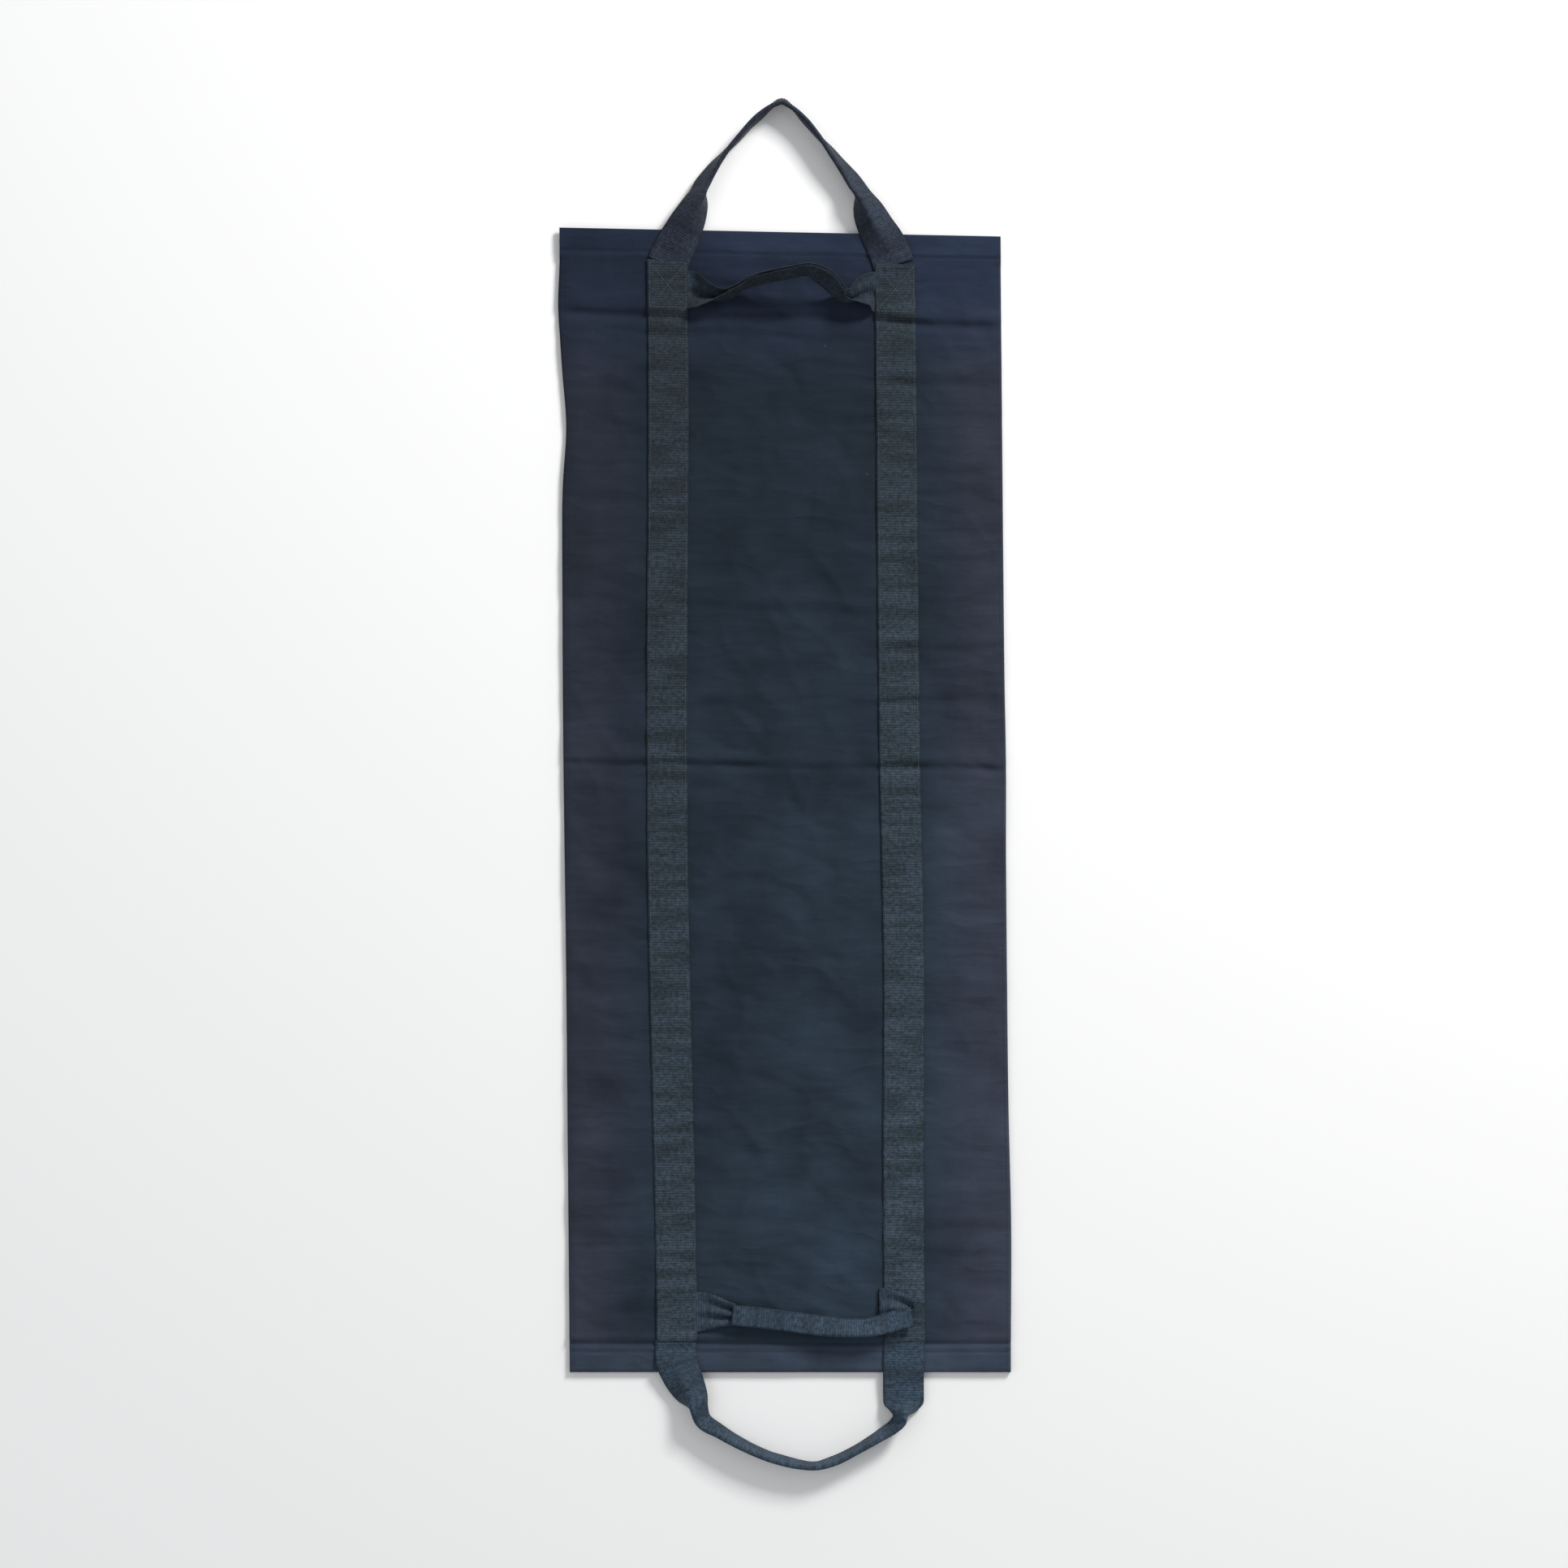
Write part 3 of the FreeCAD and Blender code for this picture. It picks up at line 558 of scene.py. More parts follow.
def weave_group():
    """Plain weave: over one, under one. Each cell of the checker shows one thread, rounded across
    its width and dipping at its two ends, with slightly uneven threads."""
    made, given = group("Plain weave", [("Vector", VECTOR, None), ("Pitch", FLOAT, 0.0006),
                                        ("Unevenness", FLOAT, 0.3)])
    here = given["Vector"]
    shift = vector_maths("SUBTRACT", noise(here, 160.0)["Color"], (0.5, 0.5, 0.5))
    shift = vector_maths("MULTIPLY", shift, (0.0006, 0.0006, 0.0006))
    u, v = (value / given["Pitch"] for value in parts(vector_maths("ADD", here, shift)))
    over = (u.maths("FLOOR") + v.maths("FLOOR")).odd()
    near_u, near_v = (value.maths("FRACT") - 0.5 for value in (u, v))
    square_u, square_v = near_u * near_u, near_v * near_v
    warp = square_u * -3.4 + 1.0 - square_v * 1.6
    weft = square_v * -3.4 + 1.0 - square_u * 1.6
    thread = add(made, "ShaderNodeMix", {0: over, 2: warp, 3: weft})
    slub = noise(stretched(here, (60.0, 1500.0, 60.0)), 1.0)
    slub = slub + noise(stretched(here, (1500.0, 60.0, 60.0)), 1.0) - 1.0
    return give(made, Height=slub * given["Unevenness"] + thread)


def rib_group():
    """Webbing: cross ribs along the fabric's first coordinate, bound by fine lengthwise yarns along
    its second, smooth selvedges, and stretches where the ribs have been rubbed flat."""
    made, given = group("Ribbed webbing", [("Fabric", VECTOR, None), ("Rib pitch", FLOAT, 0.0024),
                                           ("Width", FLOAT, 0.038), ("Seed", FLOAT, 0.0)])
    u, v = parts(given["Fabric"])

    def grain(per_u, per_v, detail, roughness):
        """Noise over the fabric, with its own number of grains per metre each way."""
        at = add(made, "ShaderNodeCombineXYZ", {0: u * per_u, 1: v * per_v, 2: given["Seed"]})
        return noise(at, 1.0, detail, roughness)

    def wave(phase):
        """A rounded wave from 0 to 1, one per unit of phase."""
        return (phase * (2 * math.pi)).maths("COSINE") * 0.5 + 0.5

    phase = u / given["Rib pitch"] + grain(240.0, 60.0, 2.0, 0.5) * 0.5
    column = v / YARN_PITCH
    rib = wave(phase + column.odd() * 0.5) * 0.55 + wave(phase) * 0.45
    yarn = abs((column * math.pi).maths("SINE"))
    rubbed = grain(60.0, 9.0, 4.0, 0.7).ramp(0.42, 0.6, smooth=True)
    edge = (given["Width"] * 0.5 - abs(v)).ramp(0.0009, 0.0022)
    height = rib * (rubbed * -0.45 + 1.0) * (edge * 0.7 + 0.3) + yarn * 0.25
    return give(made, Height=height, Rubbed=rubbed, Fleck=grain(330.0, 260.0, 3.0, 0.65))


def mottle_group():
    """Uneven handling marks: broad soft patches, streaks that run across the bag, faint creases and
    pale lint."""
    made, given = group("Handling marks", [("Vector", VECTOR, None), ("Broad", FLOAT, 9.0)])
    here = given["Vector"]
    streak = noise(stretched(here, (14.0, 90.0, 14.0)), 1.0, 3.0)
    spots = cells(here, 26.0, 1.0)
    chance, _ = parts(spots["Color"])
    bent = vector_maths("MULTIPLY_ADD", noise(here, 16.0, 1.0)["Color"], (0.05, 0.02, 0.0), here)
    folds = noise(stretched(bent, (11.0, 30.0, 11.0), 0.5), 1.0, 2.5)
    sharp = (abs(folds * 2.0 - 1.0) * 4.0).maths("MINIMUM", 1.0) * -1.0 + 1.0
    return give(made, Patches=noise(here, given["Broad"], 5.0, 0.6), Streaks=streak,
                Creases=sharp * 0.45 + streak * 0.6,
                Lint=spots["Distance"].ramp(0.035, 0.012) * chance.ramp(0.90, 0.93))


def painted_light_gradient_group():
    """A level over the whole bag that rises towards the closed end and, as painted light, towards the
    right side.
    """
    made, given = group("Painted light gradient", [("Vector", VECTOR, None), ("Along", FLOAT, -0.75),
                                   ("Across", FLOAT, 0.6)])
    x, y = parts(given["Vector"])
    return give(made, Level=(y * given["Along"] + 1.04) * (x * given["Across"] + 1.0))


def place(tree, made, **values):
    """A group placed in a material with its own values, an underscore standing for a space."""
    return add(tree, "ShaderNodeGroup", node_tree=made,
               values={key.replace("_", " "): value for key, value in values.items()})


def blank(name, roughness, specular, sheen):
    """The tree of a new material and its Principled shader's inputs, some set to even values."""
    made = bpy.data.materials.new(name)
    made.use_nodes = True
    inputs = made.node_tree.nodes["Principled BSDF"].inputs
    for key, value in (("Roughness", roughness), ("Specular IOR Level", specular),
                       ("Sheen Weight", sheen), ("Sheen Roughness", 0.5)):
        inputs[key].default_value = value
    return made.node_tree, inputs


def position(tree):
    """The point on the piece, in its own metres."""
    return add(tree, "ShaderNodeTexCoord")["Object"]


def rgba(value):
    """A colour with full alpha."""
    return (*value, 1.0)


def tint(tree, factor, first, second, mode="MIX"):
    """Two colours mixed."""
    return add(tree, "ShaderNodeMix", {0: factor, 6: first, 7: second},
               data_type="RGBA", blend_type=mode)[2]


def shade(base, level):
    """A colour times a grey level."""
    grey = add(level.tree, "ShaderNodeCombineColor", {0: level, 1: level, 2: level})
    return tint(level.tree, 1.0, base, grey, "MULTIPLY")


def relief(inputs, height, strength, distance, **under):
    """Bumps for the shader's normal, over another Normal where one is given."""
    made = add(height.tree, "ShaderNodeBump",
               {"Height": height, "Strength": strength, "Distance": distance, **under})
    made.into(inputs["Normal"])
    return made


def canvas_material(groups, sizes, colours):
    """Dark plain-weave canvas: bluer between the straps, greyer outside them, navy near the mouth."""
    tree, inputs = blank("Dark canvas", 0.88, 0.12, 0.03)
    here = position(tree)
    across_bag, along = parts(here)
    weave = place(tree, groups["weave"], Vector=here, Pitch=sizes.weave)
    marks = place(tree, groups["mottle"], Vector=here)
    base = tint(tree, abs(across_bag).ramp(0.12, 0.19, smooth=True),
                rgba(colours.canvas), rgba(colours.canvas_side))
    base = tint(tree, along.ramp(0.36, 0.50, smooth=True), base, rgba(colours.canvas_end))
    base = tint(tree, along.ramp(-0.503, -0.506), base, rgba(colours.canvas_hem))
    level = marks["Patches"].ramp(0.3, 0.7, 0.7, 1.34) * marks["Streaks"].ramp(0.3, 0.7, 0.94, 1.06)
    # Painted light on the mouth's hem band: 1.25 times brighter, offsetting the shade it gets from the
    # lamps.
    # Painted shade in the weave's dips and painted light on its raised threads.
    level = level * weave.ramp(0.0, 1.0, 0.72, 1.12) * along.ramp(0.507, 0.51, 1.0, 1.25)
    # The whole-bag level, whose rise towards the right side is painted light.
    base = shade(base, level * place(tree, groups["fading"], Vector=here))
    tint(tree, marks["Lint"] * 0.5, base, LINT).into(inputs["Base Color"])
    fine = relief(inputs, weave, 0.7, 0.00018)
    relief(inputs, marks["Creases"], 0.6, 0.0022, Normal=fine)


def webbing_material(name, groups, sizes, high, low, seed):
    """Woven webbing on the piece's own fabric coordinates, along and across, in metres."""
    tree, inputs = blank(name, 0.72, 0.2, 0.04)
    ribs = place(tree, groups["rib"], Fabric=add(tree, "ShaderNodeUVMap", uv_map="Fabric"),
                 Rib_pitch=sizes.rib, Width=sizes.web_width, Seed=seed)
    base = tint(tree, ribs["Rubbed"], rgba(high), rgba(low))
    # Painted shade in the valleys between the ribs and painted highlights on their tops, times random
    # flecks.
    level = ribs["Height"].ramp(0.0, 1.1, 0.42, 1.3) * ribs["Fleck"].ramp(0.32, 0.68, 0.52, 1.54)
    # The whole-bag level, whose rise towards the right side is painted light.
    fading = place(tree, groups["fading"], Vector=position(tree))
    shade(base, level * fading).into(inputs["Base Color"])
    relief(inputs, ribs["Height"], 0.8, 0.0005)


def thread_material(name, colour_value):
    """Polyester thread: a slight sheen, with painted shade where its relief dips."""
    tree, inputs = blank(name, 0.6, 0.2, 0.03)
    twist = noise(position(tree), 900.0)
    # Painted shade where the thread's relief dips.
    shade(rgba(colour_value), twist.ramp(0.3, 0.7, 0.7, 1.15)).into(inputs["Base Color"])
    relief(inputs, twist, 0.4, 0.0002)


def tape_material(name, colour_value, scale, roughness):
    """Nylon hook or loop pile: close bristles or fuzz as a cell pattern, with painted light on the
    tips and painted shade between them.
    """
    tree, inputs = blank(name, roughness, 0.3, 0.1)
    pile = cells(position(tree), scale, 0.7)["Distance"]
    # Painted light on the bristle tips and painted shade between them.
    shade(rgba(colour_value), pile.ramp(0.0, 0.7, 1.3, 0.5)).into(inputs["Base Color"])
    relief(inputs, pile * -1.0 + 1.0, 0.9, 0.0006)


def material(name):
    """One of the bag's materials, all made together the first time one is asked for."""
    if name not in bpy.data.materials:
        sizes, colours = bpy.context.scene.sandbag_sizes, bpy.context.scene.sandbag_colours
        groups = {"weave": weave_group(), "rib": rib_group(), "mottle": mottle_group(),
                  "fading": painted_light_gradient_group()}
        canvas_material(groups, sizes, colours)
        webbing_material("Strap webbing", groups, sizes, colours.webbing, colours.webbing_low, 0.0)
        webbing_material("Handle webbing", groups, sizes, colours.handle, colours.handle_low, 7.0)
        webbing_material("Grab webbing", groups, sizes, colours.grab, colours.grab_low, 4.0)
        thread_material("Strap thread", colours.thread)
        thread_material("Hem thread", colours.hem_thread)
        tape_material("Hook tape", colours.hook, 900.0, 0.5)
        tape_material("Loop tape", colours.loop, 1600.0, 0.9)
    return bpy.data.materials[name]


def dress(piece, finish, slot, *nodes):
    """Gives a piece its material and hides the nodes it stands for. The slot is not used."""
    piece.data.materials.append(material(finish))
    if nodes:
        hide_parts(*nodes)


def at_y(y):
    """A point on the bag's middle line, in metres."""
    return (0, y * MM, 0)


def over_fold(piece):
    """Bakes the transform of a piece that runs the bag's whole length across its middle fold."""
    at_y(FOLD_Y + 30)
    at_y(FOLD_Y - 30)
    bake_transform(piece)


def edge_rows(name, upper, lower, inset, pitch, body):
    """The rows of stitches that hold a folded webbing's edges, riding on one body."""
    made = sewn(name, [seam_on(upper, lower, column, inset, pitch) for column in EDGE_COLUMNS])
    dress(made, "Hem thread", "thread")
    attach(made, body)


# ---------------- operators


class Piece(bpy.types.Operator):
    """Shared by the operators that make a piece."""

    bl_options = {"REGISTER", "UNDO"}

    def execute(self, context):
        self.make(context.scene.sandbag_sizes)
        return {"FINISHED"}


def closer(start, end, step, fine, spots):
    """Places from start to end, step apart, and only fine apart within a few steps of the spots."""
    places, y = [start], start
    while y < end:
        near = min(abs(y - s) for s in spots)
        y += fine + (step - fine) * float(ease((near - 8) / 14))
        places.append(min(y, end))
    return np.array(places)


class SANDBAG_OT_cloth(Piece):
    """Front and back canvas of the bag and the hem of its back lip"""

    bl_idname = "sandbag.cloth"
    bl_label = "Canvas panels"

    def make(self, sizes):
        thick = sizes.cloth / MM
        edge = np.array([0.0, 0.35, 0.9, 1.7, 2.7, 4.0, 5.4, 7.0])
        middle = np.linspace(-HALF_WIDTH + 10, HALF_WIDTH - 10, 116)
        x = np.r_[-HALF_WIDTH + edge, middle, (HALF_WIDTH - edge)[::-1]]
        spots = (STEP_Y - 0.5, FOLD_Y, MOUTH_Y, HEM_Y, HEM_ROW_Y)
        inner = closer(-HALF_LENGTH + 9, HALF_LENGTH - 6, 3.9, 1.5, spots)
        y = np.r_[-HALF_LENGTH + edge, inner, HALF_LENGTH - np.array([4.0, 2.2, 1.0, 0.3, 0.0])]
        gx, gy = np.meshgrid(x, y)
        top = face(gx, gy) - 0.35 * (1 - ease((HALF_LENGTH - gy) / 0.9))
        under = np.maximum(top - thick - HEM_PLY * ease((gy - MOUTH_Y + 1) / 2), BACK_TOP)
        front = shell("front_cloth", laid(gx, gy, top), laid(gx, gy, under))
        dress(front, "Dark canvas", "canvas", "front_panel_upper", "front_panel_lower")
        over_fold(front)

        x = np.linspace(-HALF_WIDTH, HALF_WIDTH, 84)
        y = closer(-HALF_LENGTH, LIP_Y, 6.0, 3.0, (FOLD_Y, LIP_Y))
        gx, gy = np.meshgrid(x, y)
        turn = bell(HALF_WIDTH - np.abs(gx), 2.5) + bell(gy + HALF_LENGTH, 2.5)
        low = CLEAR + 0.1 * rough(gx, gy, 60, 20, 51) + 0.2 * np.clip(turn, 0, 1)
        back = shell("back_cloth", laid(gx, gy, low + BACK_PLY, True), laid(gx, gy, low, True))
        dress(back, "Dark canvas", "canvas", "back_panel_upper", "back_panel_lower")
        over_fold(back)

        x = np.linspace(-HALF_WIDTH + 2.5, HALF_WIDTH - 2.5, 84)
        y = np.r_[LIP_Y + np.array([0.0, 0.8, 1.6, 2.6, 3.8, 5.2]),
                  np.linspace(LIP_Y + 7, HALF_LENGTH - 2, 8), HALF_LENGTH - 0.8, HALF_LENGTH - 0.2]
        gx, gy = np.meshgrid(x, y)
        low = CLEAR + 0.1 * rough(gx, gy, 60, 20, 51)
        rise = BACK_PLY + HEM_PLY * ease((gy - LIP_Y - 0.6) / 2)
        rise -= 0.3 * (1 - ease((HALF_LENGTH - 0.2 - gy) / 0.8))
        lip = shell("back_lip_hem", laid(gx, gy, low + rise, True), laid(gx, gy, low, True))
        dress(lip, "Dark canvas", "canvas", "mouth_lip")
        at_y(LIP_Y - 1)
        at_y(LIP_Y + 6)
        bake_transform(lip)


class SANDBAG_OT_tapes(Piece):
    """Hook and loop tapes that close the mouth"""

    bl_idname = "sandbag.tapes"
    bl_label = "Mouth tapes"

    def make(self, sizes):
        for node, finish, body, seed in (("hook_tape", "Hook tape", "back_lip", 61),
                                         ("loop_tape", "Loop tape", "upper_half", 62)):
            low, high = (np.array(c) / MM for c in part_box(node))
            gx, gy = np.meshgrid(np.linspace(low[0], high[0], 260), np.linspace(low[1], high[1], 12))
            pile = 0.12 * rough(gx, gy, 1.5, 1.5, seed)
            on_lip = node == "hook_tape"
            top = high[2] - 0.15 + pile * on_lip
            under = low[2] + CLEAR + pile * (not on_lip)
            rounded = np.minimum(ease((gx - low[0] + 0.6) / 1.2), ease((high[0] - gx + 0.6) / 1.2))
            middle = (top + under) / 2
            tape = shell(node.replace("tape", "closure"),
                         laid(gx, gy, middle + (top - middle) * rounded, on_lip),
                         laid(gx, gy, middle + (under - middle) * rounded, on_lip))
            dress(tape, finish, node, node)
            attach(tape, body)


class SANDBAG_OT_straps(Piece):
    """The two straps sewn down along the whole bag"""

    bl_idname = "sandbag.straps"
    bl_label = "Straps"

    def make(self, sizes):
        web, width = sizes.web / MM, sizes.web_width / MM
        rim = width / 2 - np.array([0.0, 0.2, 0.7, 1.6, 2.8])
        w = np.r_[-rim, np.linspace(5 - width / 2, width / 2 - 5, 13), rim[::-1]]
        inner = closer(-STRAP_END + 1, STRAP_END - 1, 2.6, 1.2, (ROW_END, FOLD_Y, -ROW_END))
        y = np.r_[-STRAP_END, -STRAP_END + 0.3, inner, STRAP_END - 0.3, STRAP_END]
        for side, label in ((-1, "left"), (1, "right")):
            gw, gy = np.meshgrid(w, y)
            gx = side * STRAP_X + gw
            ripple = 0.34 * rough(gy, gw, 8, 26, 71 + side) + 0.4 * rough(gy, gw, 21, 60, 73 + side)
            middle = face(gx, gy) + strap_lift(gy) + ripple * ease((470 - np.abs(gy)) / 30) + CLEAR
            past = np.clip((np.abs(gw) - width / 2 + 0.75) / 0.8, 0, 0.9)
            half = web / 2 * np.sqrt(1 - past ** 2)
            half = half * (0.55 + 0.45 * ease((STRAP_END - np.abs(gy)) / 0.6))
            uv = np.stack([gy + 1200 + 300 * side, gw], -1)
            strap = shell(f"{label}_strap", laid(gx, gy, middle + half),
                          laid(gx, gy, middle - half), uv)
            dress(strap, "Strap webbing", "webbing", f"{label}_strap_upper", f"{label}_strap_lower")
            over_fold(strap)


# The lines of the carry handles' webbing. Each row: across, along, share folded, lean in degrees,
# height of the lowest point.
TOP_LOOP = (
    (-109, 499, 0, 0, 5.9), (-105.5, 507, 0.05, 0, 6), (-99, 520, 0.16, 2, 5.9),
    (-92, 533, 0.3, 6, 5.8), (-83.5, 549, 0.5, 12, 4.4), (-77.5, 563, 0.72, 22, 2),
    (-75.5, 573, 0.93, 38, 0.8), (-68, 586, 1, 30, 0.6), (-54, 604, 1, 9, 0.6),
    (-40, 619.5, 1, 0, 0.6), (-24, 636.5, 1, -1, 0.6), (-10, 647, 1, 8, 0.6), (-2, 650.6, 1, 15, 0.6),
    (6, 646, 1, 8, 0.6), (18, 635, 1, 0, 0.6), (32.5, 618, 1, 3, 0.6), (45, 602.5, 1, 18, 0.6),
    (58, 586, 1, 34, 0.6), (67, 572, 0.93, 40, 0.8), (71.5, 561, 0.7, 20, 2), (77, 549, 0.48, 12, 4.4),
    (86, 532, 0.3, 6, 5.8), (94, 519, 0.16, 2, 5.9), (99.5, 507, 0.05, 0, 6), (102, 499, 0, 0, 5.9),
)
BOTTOM_LOOP = (
    (-100.5, -499, 0, 0, 5.9), (-100.5, -510, 0, 0, 6), (-100, -519, 0.04, 0, 7.6),
    (-97, -527, 0.12, -2, 6.4), (-91.5, -540, 0.28, -6, 5), (-85.5, -553, 0.48, -14, 3),
    (-81, -564, 0.74, -30, 1.2), (-75.5, -573.5, 0.95, -42, 0.6), (-60, -584, 1, -27, 0.6),
    (-38, -596.5, 1, -19, 0.6), (-10, -608.5, 1, -14, 0.6), (14, -614.6, 1, -10, 0.6),
    (31, -616, 1, -6, 0.6), (46, -611.5, 1, -12, 0.6), (68, -600.5, 1, -12, 0.6),
    (90, -587.5, 1, -18, 0.6), (101.5, -580, 1, -24, 0.6), (108, -573, 0.92, -30, 0.6),
    (110.5, -565.5, 0.55, -14, 1.8), (111, -558, 0.14, -2, 3.4), (111, -545, 0.05, 0, 4.6),
    (111, -531, 0, 0, 5.6), (111.3, -519, 0, 0, 6.6), (111.5, -509, 0, 0, 6), (111.5, -499, 0, 0, 5.9),
)


class SANDBAG_OT_carry(Piece):
    """The carry handles at the two ends"""

    bl_idname = "sandbag.carry"
    bl_label = "Carry handles"

    def make(self, sizes):
        pitch = sizes.stitch / MM
        for label, finish, half, rows, sign in (
                ("top", "Handle webbing", "upper_half", TOP_LOOP, 1),
                ("bottom", "Grab webbing", "lower_half", BOTTOM_LOOP, -1)):
            body = f"{label}_carry"
            line = through(np.insert(rows, 2, 0.0, axis=1), 1.9)
            up = np.broadcast_to([0.0, 0.0, 1.0], (len(line), 3))
            upper, lower, uv = webbing(line[:, :3], up, line[:, 3], -sign * line[:, 4], line[:, 5],
                                       seed=sign + 5)
            handle = shell(f"{label}_carry_webbing", upper, lower, uv)
            dress(handle, finish, "webbing", f"{label}_carry_handle")
            start, end = at_y(sign * 501), at_y(sign * 519)
            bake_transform(handle)
            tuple(start)
            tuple(end)
            edge_rows(f"{label}_carry_stitches", upper, lower, 84, pitch, body)


# The lines of the grab handles' webbing. Each row: across, along, height, share folded, degrees of
# lean of the folded edge from upright, and how much the width is gathered.
ARCH = (
    (-49, 472.8, 17.2, 1, 196, 0), (-42, 476.4, 19.7, 1, 194, 0), (-33, 480.8, 22.5, 1, 196, 0),
    (-22, 484.2, 27.5, 1, 200, 0.1), (-6, 487, 32.5, 1, 203, 0.1), (9, 489.2, 36.4, 1, 204, 0),
    (18, 491.2, 38.4, 1, 205, 0.1), (22.5, 491.6, 38.8, 1, 207, 0.2), (27, 490.4, 37.2, 1, 212, 0.1),
    (34, 487, 33, 1, 220, 0), (41, 482.2, 27.5, 1, 222, 0), (48, 475.5, 21, 1, 216, 0),
    (54, 470, 15.5, 1, 206, 0),
)
ARCH_LEFT = (
    (-99, 475.5, 6.7, 0, 180, 0), (-90, 475.5, 6.8, 0, 180, 0.1), (-84, 474.2, 8.2, 0.2, 180, 0.35),
    (-77, 471.8, 11.4, 0.42, 184, 0.4), (-69, 470.2, 14, 0.66, 192, 0.35),
    (-60, 469.6, 15.4, 0.86, 198, 0.25), (-52, 471.2, 16.8, 0.96, 198, 0.1),
    (-45, 474.8, 18.5, 1, 196, 0),
)
ARCH_RIGHT = (
    (50.5, 473.2, 18.4, 1, 212, 0), (55, 469.4, 15.4, 0.97, 204, 0.1), (61, 468.4, 15, 0.84, 198, 0.3),
    (68, 470.6, 13.4, 0.6, 190, 0.4), (75, 473.2, 10.4, 0.34, 184, 0.4),
    (81, 474, 7.8, 0.12, 180, 0.3), (87, 474, 6.8, 0, 180, 0.1), (96, 474, 6.7, 0, 180, 0),
)
GRIP = (
    (-48, -475.6, 12.6, 1, 84, 0), (-30, -477.2, 12.8, 1, 84, 0), (-10, -479.4, 13, 1, 84, 0),
    (10, -482, 13.3, 1, 82, 0), (30, -484.8, 13.8, 1, 72, 0), (48, -486.6, 14.6, 1, 58, 0),
    (64, -487.4, 15, 1, 50, 0), (80, -486.4, 15.2, 1, 56, 0), (96, -482.6, 15, 1, 74, 0),
    (108, -478.8, 14.8, 1, 84, 0), (118.5, -476.8, 14.6, 1, 86, 0),
)
GRIP_LEFT = (
    (-92, -474, 6.4, 0, 0, 0), (-80, -473.5, 7.2, 0, 0, 0.25), (-72, -473.5, 8, 0, 0, 0.6),
    (-63, -474.2, 9, 0, 0, 1.05), (-55, -475.4, 10, 0, 0, 1.4), (-48, -476.2, 10.4, 0, 0, 1.62),
    (-46.5, -476.4, 10.5, 0, 0, 1.65),
)
GRIP_RIGHT = (
    (102, -470, 6.2, 0, 0, 0), (93, -470, 6.6, 0, 0, 0), (88.5, -470, 8.2, 0, 0, 0.1),
    (92, -470, 9.7, 0, 0, 0.3), (99, -470, 10, 0, 0, 0.6), (107, -471, 10.4, 0, 0, 0.95),
    (113, -473, 11, 0, 0, 1.2), (116.5, -475, 12.4, 0, 0, 1.4),
)


class SANDBAG_OT_grab(Piece):
    """The short crosswise grab handles and their gathered ends"""

    bl_idname = "sandbag.grab"
    bl_label = "Grab handles"

    def make(self, sizes):
        pitch = sizes.stitch / MM

        def piece(name, rows, slope, seed, step=1.6):
            """Webbing through a table's rows; the lean turns up from the upright towards the slope's
            side. Returns the piece and both its sides."""
            line = through(rows, step)
            lean = np.radians(line[:, 4])
            up = np.stack([0 * lean, slope * np.sin(lean), np.cos(lean)], -1)
            upper, lower, uv = webbing(line[:, :3], up, line[:, 3], 0 * lean, gather=line[:, 5],
                                       seed=seed)
            made = shell(name, upper, lower, uv)
            dress(made, "Grab webbing", "webbing")
            return made, upper, lower

        for body, half, slope, grip, inset, left, right in (
                ("top_grab", "upper_half", 1, (ARCH, 81), 4,
                 (-0.086, -0.052, ARCH_LEFT, 83), (0.084, 0.056, ARCH_RIGHT, 85)),
                ("bottom_grab", "lower_half", -1, (GRIP, 91), 3,
                 (-0.078, -0.052, GRIP_LEFT, 93), (0.098, 0.114, GRIP_RIGHT, 95, 1.2))):
            made, upper, lower = piece(f"{body}_grip", grip[0], slope, grip[1])
            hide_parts(f"{body}_handle")
            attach(made, body)
            edge_rows(f"{body}_stitches", upper, lower, inset, pitch, body)
            for label, (start, end, rows, *rest) in (("left", left), ("right", right)):
                made, *_ = piece(f"{body}_{label}_end", rows, slope, *rest)
                if label == "left":
                    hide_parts(f"{body}_ends")
                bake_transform(made)


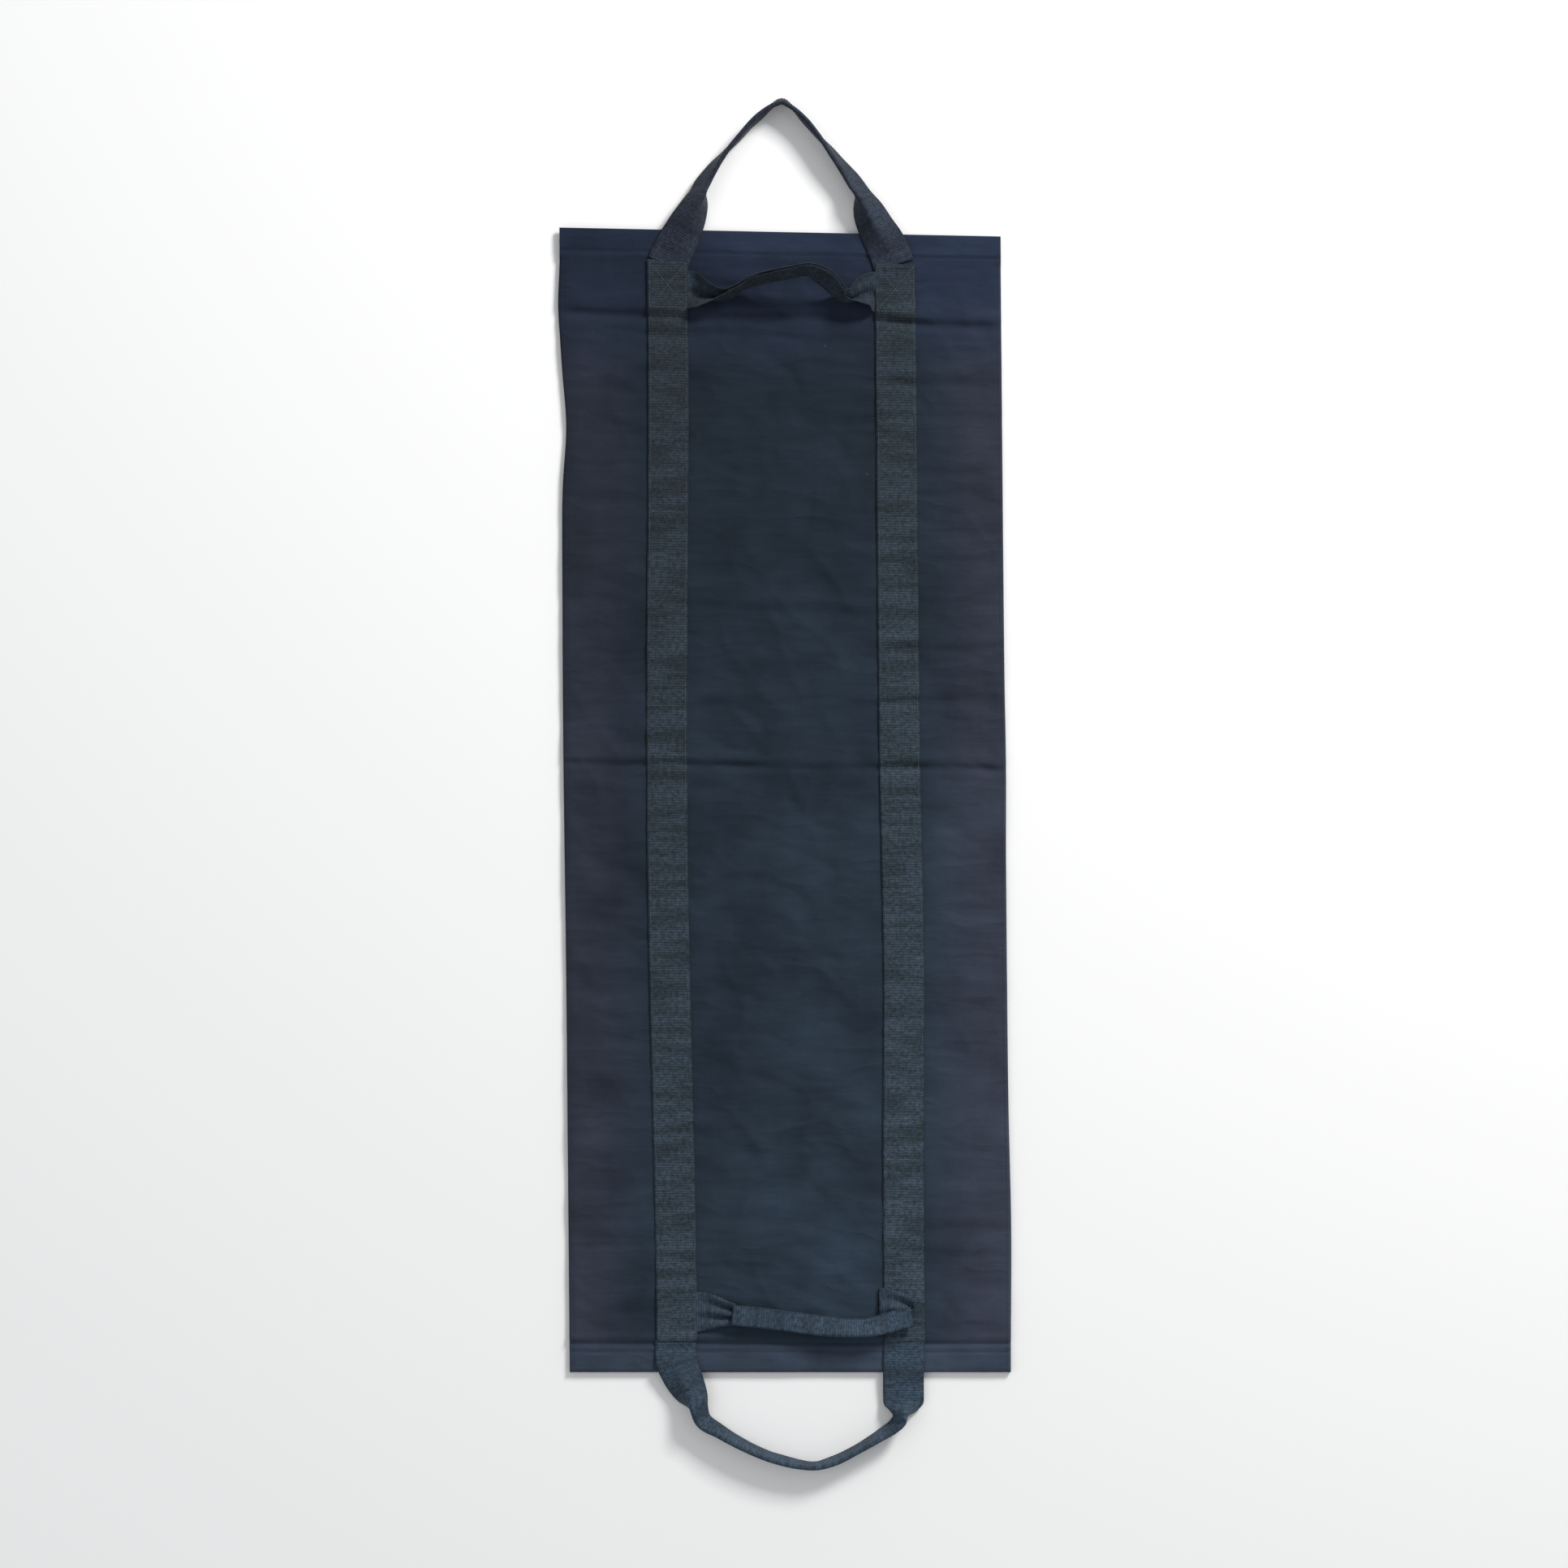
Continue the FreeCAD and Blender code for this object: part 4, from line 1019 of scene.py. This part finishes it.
class SANDBAG_OT_stitching(Piece):
    """Rows of stitches along the straps, the hems and the side seams, and the crossed boxes"""

    bl_idname = "sandbag.stitching"
    bl_label = "Stitching"

    def make(self, sizes):
        pitch = sizes.stitch / MM
        on_cloth = lambda x, y: face(x, y) + THREAD_UP
        on_strap = lambda x, y: on_cloth(x, y) + strap_lift(y) + sizes.web / MM / 2 + CLEAR
        rows = [seam(x, -ROW_END, x, ROW_END, on_strap, pitch)
                for x in (side * (STRAP_X + k * STRAP_ROW) for side in (-1, 1) for k in (-1, 1))]
        straps = sewn("strap_stitches", rows)
        dress(straps, "Strap thread", "thread", "strap_stitching_upper", "strap_stitching_lower")
        sides = sewn("side_stitches", [seam(x, -HALF_LENGTH + 6, x, MOUTH_Y - 3, on_cloth, pitch)
                                       for x in (-SIDE_ROW, SIDE_ROW)])
        dress(sides, "Hem thread", "thread", "side_stitching_upper", "side_stitching_lower")
        for piece in (straps, sides):
            over_fold(piece)
        for sign, label, body in ((1, "top", "upper_half"), (-1, "bottom", "lower_half")):
            boxes = []
            for side in (-1, 1):
                x0, x1 = side * STRAP_X - STRAP_ROW, side * STRAP_X + STRAP_ROW
                y0, y1 = sign * (BOX_Y + 0.5), sign * (STRAP_END - 2.6)
                boxes += [seam(*line, on_strap, pitch) for line in (
                    (x0, y0, x1, y0), (x0, y1, x1, y1), (x0, y0, x0, y1), (x1, y0, x1, y1),
                    (x0, y0, x1, y1), (x0, y1, x1, y0))]
            box = sewn(f"{label}_box_stitches", boxes)
            dress(box, "Strap thread", "thread", f"{label}_box_stitching")
            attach(box, body)
            lines = [MOUTH_Y + 0.4] if sign > 0 else [HEM_Y, HEM_ROW_Y]
            gaps = [(-HALF_WIDTH + 4, -STRAP_OUT - 1), (-STRAP_IN + 1, STRAP_IN - 1),
                    (STRAP_OUT + 1, HALF_WIDTH - 4)]
            hem = sewn(f"{label}_hem_stitches",
                       [seam(a, y, b, y, on_cloth, pitch) for y in lines for a, b in gaps])
            dress(hem, "Hem thread", "thread", f"{label}_hem_stitching")
            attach(hem, body)


class SANDBAG_OT_stage(bpy.types.Operator):
    """The plain pale floor, the soft studio light and the camera straight above"""

    bl_idname = "sandbag.stage"
    bl_label = "Stage"

    def execute(self, context):
        scene = context.scene
        size = 14.0
        mesh = bpy.data.meshes.new("floor")
        corners = ((-1, -1), (1, -1), (1, 1), (-1, 1))
        mesh.from_pydata([(size * i, size * j, -0.0006) for i, j in corners], [], [(0, 1, 2, 3)])
        floor = bpy.data.objects.new("floor", mesh)
        scene.collection.objects.link(floor)
        _, inputs = blank("Pale floor", 0.9, 0.1, 0.0)
        inputs["Base Color"].default_value = rgba(scene.sandbag_colours.floor)
        mesh.materials.append(bpy.data.materials["Pale floor"])

        for name, spot, width, power, tone in (
            ("key", (2.1, 2.7, 2.1), 1.0, 150, (1.0, 0.99, 0.97)),
            ("fill", (-2.6, -0.6, 3.2), 2.6, 14, (0.97, 0.98, 1.0)),
        ):
            lamp = bpy.data.lights.new(name, "AREA")
            lamp.shape, lamp.size, lamp.energy, lamp.color = "SQUARE", width, power, tone
            holder = bpy.data.objects.new(name, lamp)
            holder.location = spot
            holder.rotation_mode = "QUATERNION"
            holder.rotation_quaternion = (-Vector(spot)).to_track_quat("-Z", "Y")
            scene.collection.objects.link(holder)
        world = bpy.data.worlds.new("studio")
        world.use_nodes = True
        light = world.node_tree.nodes["Background"].inputs
        light["Color"].default_value, light["Strength"].default_value = (0.96, 0.98, 1.0, 1), 0.45
        scene.world = world
        scene.view_settings.view_transform = "Standard"

        lens = bpy.data.cameras.new("camera")
        lens.lens, lens.sensor_width = 100, 36
        camera = bpy.data.objects.new("camera", lens)
        camera.location = (0, 0.017, 4.053)
        scene.collection.objects.link(camera)
        scene.camera = camera
        return {"FINISHED"}


class SANDBAG_PT_panel(bpy.types.Panel):
    """The bag's pieces and settings"""

    bl_label = "Sandbag"
    bl_space_type = "VIEW_3D"
    bl_region_type = "UI"
    bl_category = "Sandbag"

    def draw(self, context):
        for settings in (context.scene.sandbag_sizes, context.scene.sandbag_colours):
            box = self.layout.box()
            for key in settings.__annotations__:
                box.prop(settings, key)
        for made in OPERATORS:
            self.layout.operator(made.bl_idname)


OPERATORS = (SANDBAG_OT_cloth, SANDBAG_OT_tapes, SANDBAG_OT_straps, SANDBAG_OT_carry,
             SANDBAG_OT_grab, SANDBAG_OT_stitching, SANDBAG_OT_stage)
CLASSES = (SandbagSizes, SandbagColours, *OPERATORS, SANDBAG_PT_panel)


def register():
    for made in CLASSES:
        bpy.utils.register_class(made)
    bpy.types.Scene.sandbag_sizes = bpy.props.PointerProperty(type=SandbagSizes)
    bpy.types.Scene.sandbag_colours = bpy.props.PointerProperty(type=SandbagColours)


def unregister():
    del bpy.types.Scene.sandbag_sizes
    del bpy.types.Scene.sandbag_colours
    for made in reversed(CLASSES):
        bpy.utils.unregister_class(made)


def main():
    register()
    for name in ("cloth", "tapes", "straps", "carry", "grab", "stitching", "stage"):
        if getattr(bpy.ops.sandbag, name)() != {"FINISHED"}:
            raise RuntimeError(f"the {name} could not be made")


if __name__ == "__main__":
    main()
